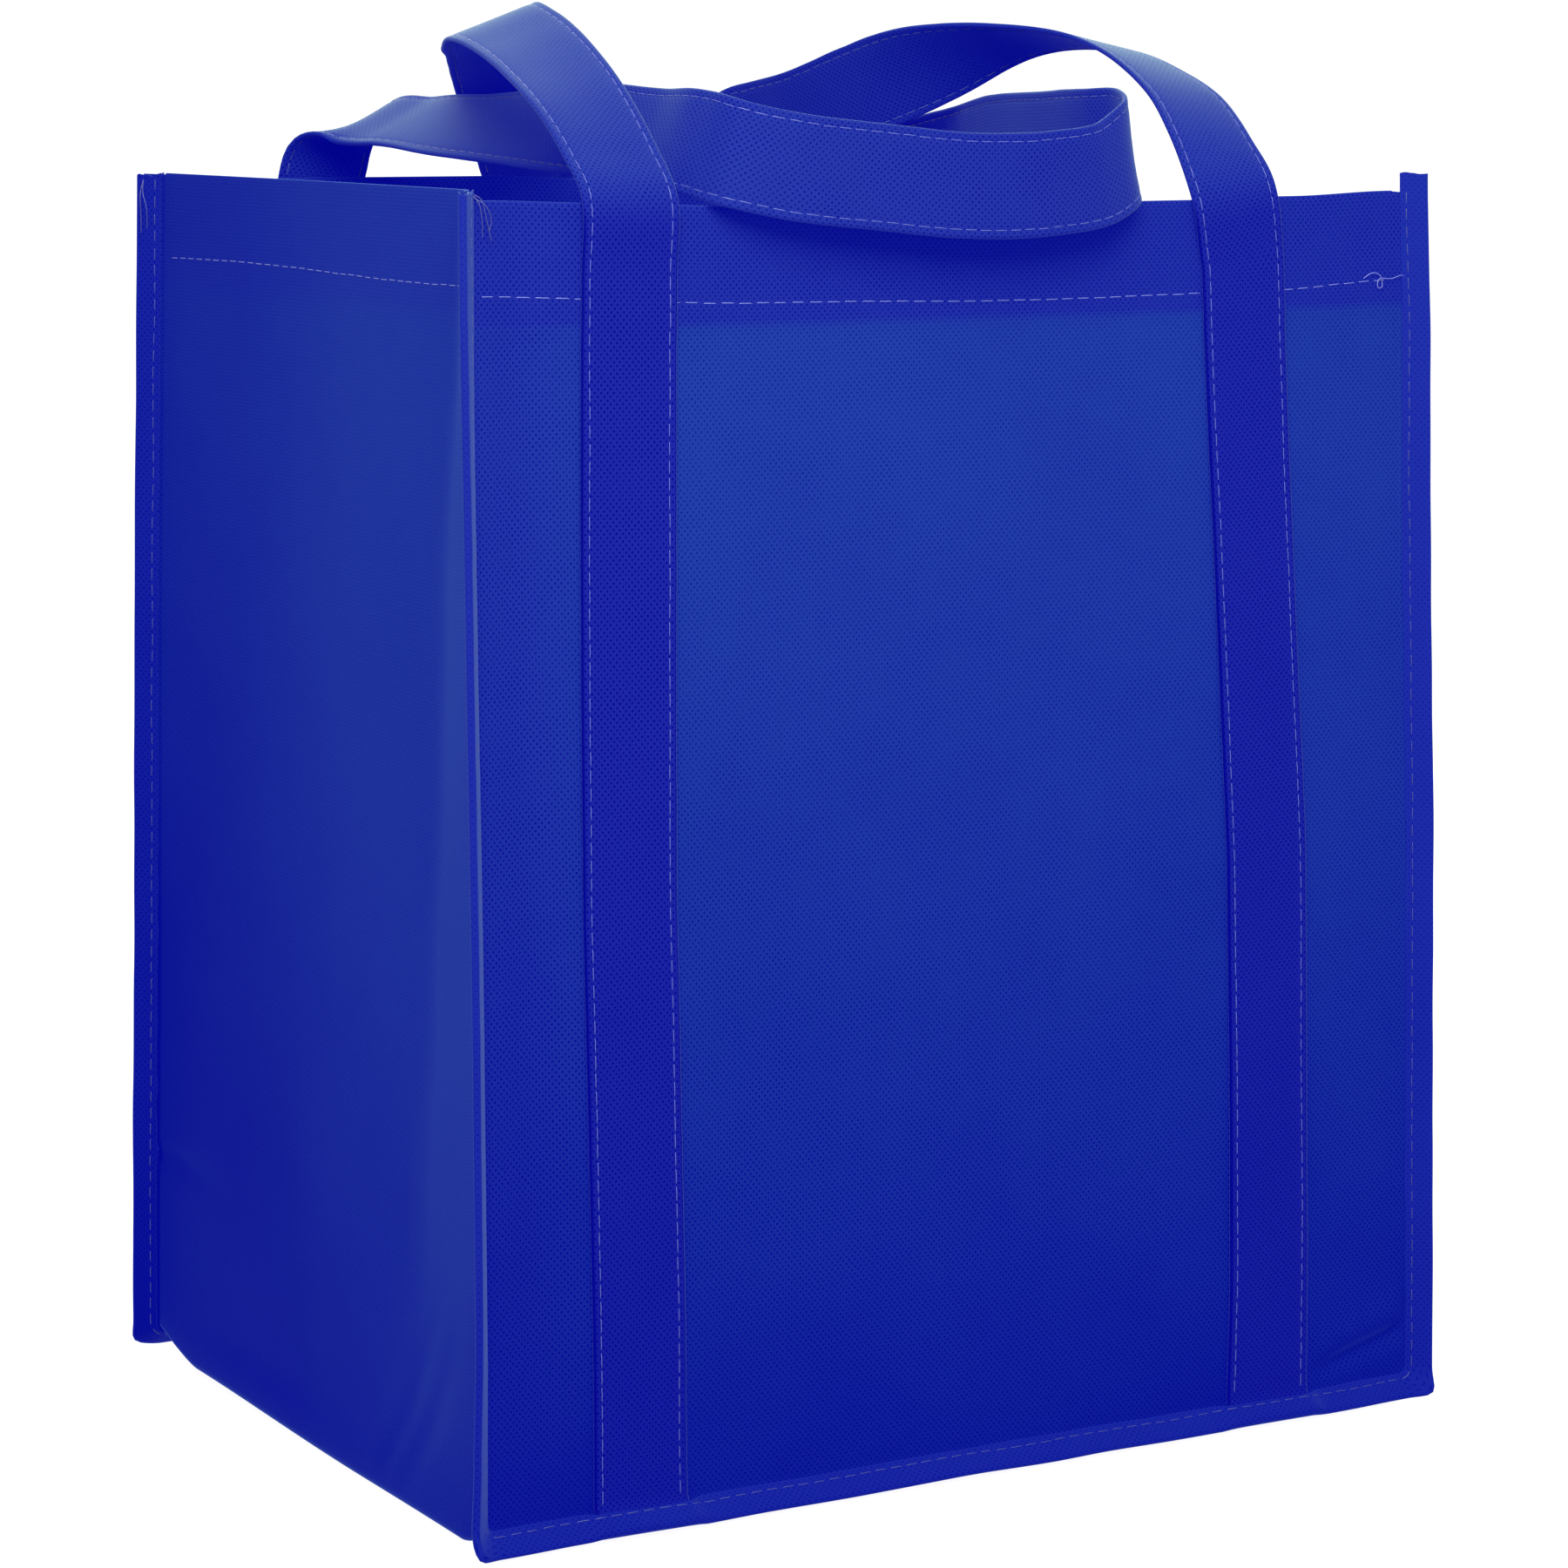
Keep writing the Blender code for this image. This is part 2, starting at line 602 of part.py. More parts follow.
def build_board(material):
    """The loose board that keeps the base flat, lying on the base sheet."""
    half_x = HALF_WIDTH - BOARD_END_CLEARANCE
    half_y = HALF_DEPTH - BASE_RISE_LENGTH - GAP * 2
    low = FABRIC + GAP
    ring = []
    for sx, sy, start in ((1, 1, 0), (-1, 1, 90), (-1, -1, 180), (1, -1, 270)):
        for k in range(CORNER_STEPS + 1):
            angle = math.radians(start + 90 * k / CORNER_STEPS)
            x = sx * (half_x - BOARD_CORNER_RADIUS) + BOARD_CORNER_RADIUS * math.cos(angle)
            y = sy * (half_y - BOARD_CORNER_RADIUS) + BOARD_CORNER_RADIUS * math.sin(angle)
            ring.append((x, y))
    count = len(ring)
    points = [(x, y, low) for x, y in ring] + [(x, y, low + BOARD_THICKNESS) for x, y in ring]
    faces = [tuple(reversed(range(count))), tuple(range(count, 2 * count))]
    for i in range(count):
        nxt = (i + 1) % count
        faces.append((i, nxt, count + nxt, count + i))
    return add_object("bottom_board", points, faces, material)


def leg_feet(leg_xs):
    """x of the two strap ends in a fin."""
    return [xs[0] * MM * LEG_SPACING / ROUTE_LEG_SPACING for xs in leg_xs]


def main():
    """Build every piece of the bag."""
    clear_scene()
    body = make_material("Royal blue cloth", (0.012, 0.024, 0.34), 0.75)
    tape = make_material("Binding tape cloth", (0.015, 0.02, 0.31), 0.7)
    strap = make_material("Strap cloth", (0.014, 0.02, 0.32), 0.65)
    board = make_material("Board", (0.05, 0.05, 0.06), 0.6)
    build_panel("front_panel", -1, FRONT_RIM_DROPS, body)
    build_panel("back_panel", 1, BACK_RIM_DROPS, body)
    build_gusset(body)
    build_binding("front_binding", -1, FRONT_TAPE_RISE, leg_feet(FRONT_LEG_X), tape)
    build_binding("back_binding", 1, BACK_TAPE_RISE, leg_feet(BACK_LEG_X), tape)
    build_handle("front_handle", -1, FRONT_LEG_X, FRONT_LOOP, strap)
    build_handle("back_handle", 1, BACK_LEG_X, BACK_LOOP, strap)
    build_board(board)


main()
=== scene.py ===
"""A grocery tote of embossed non-woven cloth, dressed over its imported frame.

Every cloth piece is first laid out flat and square, as it is cut and sewn, and
then settled: the walls bulge and crease, the tapes ripple and the whole bag
leans a little, by one field that all the pieces share, so that the seams stay
closed.
"""

from __future__ import annotations

import logging
import math
from contextlib import contextmanager
from dataclasses import dataclass, field
from enum import Enum
from typing import Callable, Iterator, Sequence

import bpy
from mathutils import Matrix, Vector, noise


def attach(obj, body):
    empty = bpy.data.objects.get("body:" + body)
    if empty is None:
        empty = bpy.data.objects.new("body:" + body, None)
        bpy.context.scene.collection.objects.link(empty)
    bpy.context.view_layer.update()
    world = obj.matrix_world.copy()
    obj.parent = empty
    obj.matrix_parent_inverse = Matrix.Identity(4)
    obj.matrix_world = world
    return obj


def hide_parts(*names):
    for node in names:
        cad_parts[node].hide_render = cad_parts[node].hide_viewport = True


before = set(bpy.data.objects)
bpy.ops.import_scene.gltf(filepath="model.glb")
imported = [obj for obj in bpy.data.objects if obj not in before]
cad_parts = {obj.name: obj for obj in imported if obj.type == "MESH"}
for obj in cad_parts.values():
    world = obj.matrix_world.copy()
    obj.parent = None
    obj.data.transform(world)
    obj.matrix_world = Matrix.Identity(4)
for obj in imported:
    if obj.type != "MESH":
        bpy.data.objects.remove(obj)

log = logging.getLogger("tote")
MM = 0.001
ROOT_HALF = math.sqrt(0.5)

Pair = tuple[float, float]
Triple = tuple[float, float, float]
Knots = tuple[Pair, ...]
Station = tuple[Pair, Pair]
Section = list[Pair]


class Face(Enum):
    """Which wall of the bag a piece belongs to, by the sign of Y it looks along."""

    FRONT = -1
    BACK = 1


class Side(Enum):
    """Which flank of the bag a piece belongs to, by the sign of X."""

    LEFT = -1
    RIGHT = 1


def clamp(value: float, low: float = 0.0, high: float = 1.0) -> float:
    """Return value held between low and high."""
    return min(max(value, low), high)


def ease(start: float, end: float, value: float) -> float:
    """Rise smoothly from 0 at start to 1 at end.

    Args:
        start: Where the rise begins.
        end: Where it is complete.
        value: The place asked for.

    Returns:
        A share from 0 to 1.
    """
    share = clamp((value - start) / (end - start))
    return share * share * (3.0 - 2.0 * share)


def steps(start: float, end: float, count: int) -> list[float]:
    """Return count + 1 evenly spaced values from start to end."""
    return [start + (end - start) * i / count for i in range(count + 1)]


def between(knots: Knots, place: float) -> float:
    """Read a smooth curve through a short list of given points.

    Args:
        knots: Pairs of place and value, with rising places.
        place: Where to read.

    Returns:
        The value there, held at the ends.
    """
    if place <= knots[0][0]:
        return knots[0][1]
    for (x0, y0), (x1, y1) in zip(knots, knots[1:]):
        if place <= x1:
            return y0 + (y1 - y0) * ease(x0, x1, place)
    return knots[-1][1]


def unevenness(x: float, y: float, z: float) -> float:
    """Return the smooth unevenness of hand-made work at a place, from about -1 to 1."""
    return noise.noise(Vector((x, y, z)))


def bell(value: float) -> float:
    """Return a rounded ridge: 1 at 0, and next to nothing beyond 2."""
    return math.exp(-value * value)


def distances(points: Sequence[Sequence[float]]) -> list[float]:
    """Measure along a path.

    Args:
        points: The points of the path.

    Returns:
        The distance travelled at each point.
    """
    travel = [0.0]
    for before, after in zip(points, points[1:]):
        travel.append(travel[-1] + math.dist(before, after))
    return travel


def spaced(*runs: Triple) -> list[float]:
    """Join runs of evenly spaced places.

    Args:
        runs: Start, end and largest step of each run, each starting where the last ended.

    Returns:
        The places, without repeats.
    """
    places: list[float] = [runs[0][0]]
    for start, end, step in runs:
        count = max(1, math.ceil(abs(end - start) / step - 1e-6))
        places += steps(start, end, count)[1:]
    return places


def deselect_all() -> None:
    """Leave nothing selected, in object mode."""
    for other in bpy.context.selected_objects:
        other.select_set(False)


def only(piece: bpy.types.Object) -> None:
    """Select one piece alone and make it active.

    Args:
        piece: The piece.
    """
    deselect_all()
    piece.select_set(True)
    bpy.context.view_layer.objects.active = piece


@contextmanager
def editing(piece: bpy.types.Object) -> Iterator[None]:
    """Open a piece in edit mode with all of it selected, and close it again.

    Args:
        piece: The piece.

    Returns:
        The context in which it is open.
    """
    only(piece)
    bpy.ops.object.mode_set(mode="EDIT")
    bpy.ops.mesh.select_all(action="SELECT")
    yield
    bpy.ops.object.mode_set(mode="OBJECT")


@dataclass(frozen=True)
class ToteForm:
    """The seam lines and walls of the bag, and the way its cloth has settled."""

    width: float = 282.8 * MM
    depth: float = 204.0 * MM
    height: float = 330.0 * MM
    mouth_inset_x: float = 3.2 * MM
    mouth_inset_y: float = 9.4 * MM
    cloth: float = 0.42 * MM
    sheet_pitch: float = 0.6 * MM
    hem: float = 30.0 * MM
    hem_end_inset: float = 2.4 * MM
    flank_hem_inset: float = 1.0 * MM
    left_rise: float = 2.5 * MM
    right_rise: float = -1.2 * MM
    right_dip: float = 7.0 * MM
    fin: float = 8.0 * MM
    flange: float = 5.85 * MM
    corner_radius: float = 2.5 * MM
    base_fold_radius: float = 3.5 * MM
    base_rise_length: float = 14.0 * MM
    back_rise_length: float = 24.0 * MM
    seam_height: float = 6.21 * MM
    front_rim: Knots = (
        (-138.0, 0.0), (-103.5, 0.9), (-69.0, 2.0), (-34.5, 2.3),
        (34.5, 2.3), (69.0, 2.1), (103.5, 1.4), (138.0, 0.3),
    )
    back_rim: Knots = (
        (-138.0, 0.0), (-95.0, -0.9), (-40.0, -0.9), (0.0, 0.6),
        (38.0, 2.9), (70.0, 2.2), (105.0, 0.6), (138.0, 0.0),
    )
    crease_line: Knots = (
        (0.0, -51.0), (76.0, -53.2), (133.0, -60.9), (188.0, -66.7),
        (231.0, -69.9), (306.0, -82.0), (333.0, -85.0),
    )
    crease_depth: Knots = (
        (0.0, 0.3), (30.0, 3.6), (76.0, 5.6), (133.0, 6.2),
        (188.0, 5.8), (231.0, 5.0), (306.0, 3.0), (333.0, 2.2),
    )
    fin_lean: Knots = ((4.0, 0.0), (24.0, 5.0), (60.0, 10.0), (250.0, 10.0), (332.0, 4.0))
    front_bulge: float = 1.5 * MM
    front_wave: float = 1.1 * MM
    front_crinkle: float = 0.28 * MM
    low_wave: float = 1.0 * MM
    back_bulge: float = 1.2 * MM
    back_wave: float = 1.3 * MM
    hem_step: float = 0.22 * MM
    valley_x: float = -125.0 * MM
    valley_half: float = 8.0 * MM
    valley_depth: float = 1.6 * MM
    tuck_depth: float = 2.4 * MM
    tuck_roll: float = 1.3 * MM
    flank_wave: float = 1.1 * MM
    flank_belly: float = 2.5 * MM
    back_fold_depth: float = 0.9 * MM
    foot_fold_depth: float = 0.5 * MM
    corner_rise: float = 2.2 * MM
    tape_ripple: float = 0.9 * MM
    mouth_pull: float = 1.2 * MM
    sway: float = 0.9 * MM
    wall_reach: Pair = (4.5 * MM, 13.0 * MM)
    wall_end: Pair = (-0.5 * MM, 1.5 * MM)
    rim_reach: Pair = (-2.0 * MM, 16.0 * MM)
    ground_reach: Pair = (2.0 * MM, 14.0 * MM)
    fin_y: Pair = (92.0 * MM, 97.0 * MM)
    fin_z: Pair = (9.0 * MM, 26.0 * MM)
    lift_x: Pair = (-40.0 * MM, -138.0 * MM)
    lift_y: Pair = (-30.0 * MM, 100.0 * MM)
    lift_z: Pair = (6.0 * MM, 60.0 * MM)
    pull_x: Pair = (100.0 * MM, 141.0 * MM)
    pull_y: Pair = (-60.0 * MM, -90.0 * MM)
    pull_z: Pair = (286.0 * MM, 330.0 * MM)
    tuck_from: Pair = (106.0 * MM, 122.0 * MM)
    tuck_to: Pair = (141.0 * MM, 137.0 * MM)
    tuck_z: Pair = (7.0 * MM, 12.0 * MM)
    low_wave_z: Pair = (55.0 * MM, 5.0 * MM)
    back_fold_y: Pair = (52.0 * MM, 92.0 * MM)
    foot_fold_y: Pair = (-92.0 * MM, -76.0 * MM)
    foot_fold_z: Pair = (70.0 * MM, 10.0 * MM)
    foot_folds: Knots = ((12.0, -1.5), (36.0, -1.9))

    @property
    def rim_fold(self) -> float:
        """Return how far the fold of a hem starts below its top."""
        return (self.sheet_pitch + self.cloth) / 2

    def side_x(self, z: float) -> float:
        """Return half the width between the side seams at a height."""
        return self.width / 2 - self.mouth_inset_x * z / self.height

    def panel_y(self, z: float) -> float:
        """Return half the depth between the front and back panels at a height."""
        return self.depth / 2 - self.mouth_inset_y * z / self.height

    def axes(self, face: Face) -> tuple[Vector, Vector]:
        """Find the directions of a panel.

        Args:
            face: The panel.

        Returns:
            Its outward normal and its upward direction.
        """
        slope = self.mouth_inset_y / self.height
        outward = Vector((0.0, face.value, slope)).normalized()
        upward = Vector((0.0, -face.value * slope, 1.0)).normalized()
        return outward, upward

    def rim_drop(self, face: Face, x: float) -> float:
        """Return how far a panel's rim hangs below its corners at x."""
        knots = self.front_rim if face is Face.FRONT else self.back_rim
        return between(knots, x / MM) * MM

    def seam_frame(self, face: Face, point: Pair, normal: Pair) -> tuple[Vector, Vector, Vector]:
        """Place one station of a panel's seam in space.

        Args:
            face: The panel.
            point: x and z of the station.
            normal: Outward x and z in the panel's plane there.

        Returns:
            The seam point, the direction of the fin and the direction across it.
        """
        outward, upward = self.axes(face)
        x, z = point
        place = Vector((x, face.value * self.panel_y(z), z))
        edge = Vector((normal[0], 0.0, 0.0)) + upward * normal[1]
        edge.normalize()
        lean = 45.0
        if face is Face.FRONT and x < 0.0 and normal[0] < -0.9:
            lean += between(self.fin_lean, z / MM)
        along, out = math.cos(math.radians(lean)), math.sin(math.radians(lean))
        return place, edge * along + outward * out, outward * along - edge * out

    def gusset_tops(self, share: float) -> Pair:
        """Find where the gusset's hem folds start.

        Args:
            share: Place along the depth, from -1 at the front seam to 1 at the back one.

        Returns:
            The heights on the left and on the right.
        """
        dip = self.right_dip * math.cos(math.pi / 2 * clamp(share, -1.0, 1.0)) ** 2
        top = self.height - self.rim_fold
        return top + self.left_rise, top + self.right_rise - dip

    def outline(
        self, low: float, top: Pair, counts: tuple[int, int, int], radius: float
    ) -> list[Station]:
        """Walk down the left flank, along the base and up the right flank.

        Args:
            low: Height of the base line.
            top: Heights of the left and right ends.
            counts: Steps on each flank, on each corner and along the base.
            radius: Radius of the corners.

        Returns:
            Stations of (x, z) and outward normal (x, z).
        """
        flank, corner, base = counts
        corner_z = low + radius
        corner_x = self.side_x(corner_z) - radius
        tilt = math.atan2(self.mouth_inset_x, self.height)
        side_normal = (-math.cos(tilt), math.sin(tilt))
        left = [((-self.side_x(z), z), side_normal) for z in steps(top[0], corner_z, flank)]
        for i in range(1, corner):
            angle = math.pi + math.pi / 2 * i / corner
            normal = (math.cos(angle), math.sin(angle))
            left.append(
                ((-corner_x + radius * normal[0], corner_z + radius * normal[1]), normal)
            )
        bottom = [((x, low), (0.0, -1.0)) for x in steps(-corner_x, corner_x, base)]
        right = [((-p[0], p[1]), (-n[0], n[1])) for p, n in reversed(left)]
        if top[1] != top[0]:
            heights = steps(corner_z, top[1], flank)
            right[-flank - 1 :] = [
                ((self.side_x(z), z), (-side_normal[0], side_normal[1])) for z in heights
            ]
        return left + bottom + right

    def base_height(self, share: float) -> float:
        """Find the height of the base sheet, which rises to the seams at its front and back.

        Args:
            share: Place along the depth, from -1 at the front seam to 1 at the back one.

        Returns:
            The height of the middle of the cloth.
        """
        length = self.base_rise_length if share < 0.0 else self.back_rise_length
        flat = 1.0 - length / (self.depth / 2)
        seam = self.seam_height - self.sheet_pitch / 2 * ROOT_HALF
        rise = max(abs(share) - flat, 0.0) / (1.0 - flat)
        return self.cloth / 2 + (seam - self.cloth / 2) * rise**1.3

    def corner_tuck(self, x: float, z: float) -> float:
        """Find the small crease that runs from the lower right corner of the front panel.

        Args:
            x: Place along the panel.
            z: Height.

        Returns:
            How far it stands proud.
        """
        along = z / MM - 12.5 - 0.26 * (x / MM - 116.0)
        reach = ease(*self.tuck_from, x) * ease(*self.tuck_to, x) * ease(*self.tuck_z, z)
        roll = self.tuck_roll * bell((along - 7.0) / 5.0)
        return (roll - self.tuck_depth * bell(along / 3.0)) * reach

    def panel_relief(self, face: Face, x: float, z: float) -> float:
        """Find the bulge, waves and hem step of a panel.

        Args:
            face: The panel.
            x: Place along it.
            z: Height.

        Returns:
            How far it stands proud of its plane.
        """
        u = clamp(x / self.side_x(z), -1.0, 1.0)
        v = clamp(z / self.height)
        arch = (1.0 - u * u) * math.sin(math.pi * v) ** 0.8
        hem_edge = self.height - self.hem
        step = self.hem_step * ease(hem_edge - 4.0 * MM, hem_edge - 1.0 * MM, z)
        if face is Face.BACK:
            swell = self.back_bulge * arch
            waves = self.back_wave * unevenness(x * 12.0, 23.1, z * 9.0)
        else:
            waves = self.front_wave * unevenness(x * 13.0, 3.1, z * 8.0)
            waves += self.front_crinkle * unevenness(x * 34.0, 7.7, z * 21.0)
            low_waves = self.low_wave * unevenness(x * 30.0, 11.0, z * 9.0)
            swell = self.front_bulge * arch + low_waves * ease(*self.low_wave_z, z)
            valley = bell((x - self.valley_x) / self.valley_half) * ease(0.0, 0.25, v)
            step += self.corner_tuck(x, z) - self.valley_depth * valley
        return (swell + waves * ease(0.0, 0.12, v)) * (1.0 - abs(u) ** 5) + step

    def flank_relief(self, side: Side, y: float, z: float) -> float:
        """Find the sag of a flank, which runs inwards from both seams to a soft crease.

        Args:
            side: The flank.
            y: Place along the depth.
            z: Height.

        Returns:
            The outward distance.
        """
        edge = self.panel_y(z)
        crease = between(self.crease_line, z / MM) * MM
        depth = between(self.crease_depth, z / MM) * MM
        if side is Side.RIGHT:
            crease = crease * 0.7 + 4.0 * MM
            depth *= 0.8
        share = clamp((y - crease) / (edge - crease))
        near = depth * clamp((y + edge) / (crease + edge), 0.0, 3.0)
        far = depth * (1.0 - share) + self.flank_belly * math.sin(math.pi * share)
        blend = min(0.8 * MM, 0.8 * depth)
        pick = clamp(0.5 + 0.5 * (far - near) / blend)
        sag = max(far + (near - far) * pick - blend * pick * (1.0 - pick), 0.0)
        waves = self.flank_wave * unevenness(y * 16.0, 40.0 + side.value * 5.0, z * 9.0)
        waves *= (1.0 - clamp(abs(y) / edge) ** 4) * ease(0.0, 0.1, z / self.height)
        if side is Side.RIGHT:
            return waves - sag
        line = 58.0 + 0.05 * (y / MM - 60.0)
        sag += self.back_fold_depth * bell((z / MM - line) / 2.2) * ease(*self.back_fold_y, y)
        reach = ease(*self.foot_fold_z, z) * ease(*self.foot_fold_y, y)
        for foot, slope in self.foot_folds:
            across = (z / MM - foot - slope * (y / MM + 60.0)) / 9.0
            sag += self.foot_fold_depth * bell(across) * reach
        return waves - sag

    def corner_lift(self, x: float, y: float) -> float:
        """Return how far the back left corner of the base stands off the floor at a point."""
        return self.corner_rise * ease(*self.lift_x, x) * ease(*self.lift_y, y)

    def nearness(self, reach: float, wall: float, across: float, corner: float) -> float:
        """Find how much a point moves with a wall.

        Args:
            reach: How far the point is from the middle of the bag, towards the wall.
            wall: How far the wall is.
            across: How far the point is from the wall's upright middle line.
            corner: How far the wall's corners are from it.

        Returns:
            1 on the wall, and less away from it and past its corners.
        """
        near = 1.0 - ease(*self.wall_reach, abs(reach - wall))
        return near * (1.0 - ease(*self.wall_end, across - corner))

    def settle(self, point: Vector) -> Vector:
        """Move a point of the square bag to where the settled cloth has it.

        Args:
            point: A point on, in or just outside a wall of the square bag.

        Returns:
            The point moved with the walls beside it.
        """
        x, y, z = point
        moved = point.copy()
        depth, width = self.panel_y(z), self.side_x(z)
        walled = 1.0 - ease(*self.rim_reach, z - self.height)
        for face in Face:
            share = self.nearness(face.value * y, depth, abs(x), width) * walled
            if share > 0.0:
                moved += self.axes(face)[0] * self.panel_relief(face, x, z) * share
        for side in Side:
            share = self.nearness(side.value * x, width, abs(y), depth) * walled
            if share > 0.0 and z > self.ground_reach[0]:
                share *= ease(*self.ground_reach, z)
                moved.x += side.value * self.flank_relief(side, y, z) * share
        low_fin = ease(*self.fin_y, abs(y)) * (1.0 - ease(*self.fin_z, z))
        moved.z += self.tape_ripple * (0.5 + 0.5 * unevenness(x * 24.0, y * 3.0, 1.7)) * low_fin
        moved.z += self.corner_lift(x, y) * (1.0 - ease(*self.lift_z, z))
        at_corner = ease(*self.pull_x, x) * ease(*self.pull_y, y) * ease(*self.pull_z, z)
        moved.x -= self.mouth_pull * at_corner
        sway = self.sway * (0.4 + 0.45 * walled) * ease(0.0, 50.0 * MM, z)
        moved.x += sway * unevenness(y * 7.0, z * 9.0, 5.3)
        moved.y += sway * unevenness(x * 7.0, z * 9.0, 9.1)
        return moved


class NodeBench:
    """The nodes of one new material, added and joined step by step."""

    def __init__(self, name: str) -> None:
        """Start the material.

        Args:
            name: Name of the material.
        """
        self.material = bpy.data.materials.new(name)
        self.material.use_nodes = True
        self.shader = self.material.node_tree.nodes["Principled BSDF"]

    def feed(self, socket: bpy.types.NodeSocket, value: object) -> None:
        """Give an input what it reads.

        Args:
            socket: The input.
            value: An output to link, or a fixed number, colour or vector.
        """
        if isinstance(value, bpy.types.NodeSocket):
            self.material.node_tree.links.new(value, socket)
        elif isinstance(value, tuple) and len(socket.default_value) > len(value):
            socket.default_value = (*value, 1.0)
        else:
            socket.default_value = value

    def add(
        self, kind: str, feeds: dict[str | int, object], **settings: str
    ) -> bpy.types.bpy_prop_collection:
        """Add one node.

        Args:
            kind: Its type, without the first word that all shader nodes share.
            feeds: What each of its inputs reads.
            settings: Its own settings, by name.

        Returns:
            Its outputs.
        """
        node = self.material.node_tree.nodes.new(f"ShaderNode{kind}")
        for key, value in settings.items():
            setattr(node, key, value)
        for key, value in feeds.items():
            self.feed(node.inputs[key], value)
        return node.outputs

    def math(self, operation: str, first: object, second: object = 0.0) -> bpy.types.NodeSocket:
        """Return the result of a sum of two numbers or outputs."""
        return self.add("Math", {0: first, 1: second}, operation=operation)[0]

    def noise(self, source: object, scale: float, detail: float) -> bpy.types.NodeSocket:
        """Return a noise of a scale and detail over a set of coordinates."""
        return self.add("TexNoise", {"Vector": source, "Scale": scale, "Detail": detail})["Fac"]

    def spread(
        self, source: object, start: float, end: float, kind: str = "LINEAR"
    ) -> bpy.types.NodeSocket:
        """Return how far a value has come from start to end, from 0 to 1."""
        feeds = {"Value": source, "From Min": start, "From Max": end}
        return self.add("MapRange", feeds, interpolation_type=kind)[0]

    def mix(self, first: object, second: object, share: object) -> bpy.types.NodeSocket:
        """Return a colour that lies a share of the way from the first to the second."""
        feeds = {"A": first, "B": second, "Factor": share}
        return self.add("Mix", feeds, data_type="RGBA")["Result"]

    def bump(self, height: object, distance: float) -> None:
        """Press a height pattern into the surface."""
        normal = self.add("Bump", {"Strength": 1.0, "Distance": distance, "Height": height})[0]
        self.feed(self.shader.inputs["Normal"], normal)

    def finish(self, colour: Triple, settings: dict[str, object]) -> bpy.types.Material:
        """Set the shader's own sockets.

        Args:
            colour: Plain colour of the material outside a render.
            settings: Fixed values of the shader's inputs.

        Returns:
            The finished material.
        """
        for key, value in settings.items():
            self.feed(self.shader.inputs[key], value)
        self.material.diffuse_color = (*colour, 1.0)
        return self.material


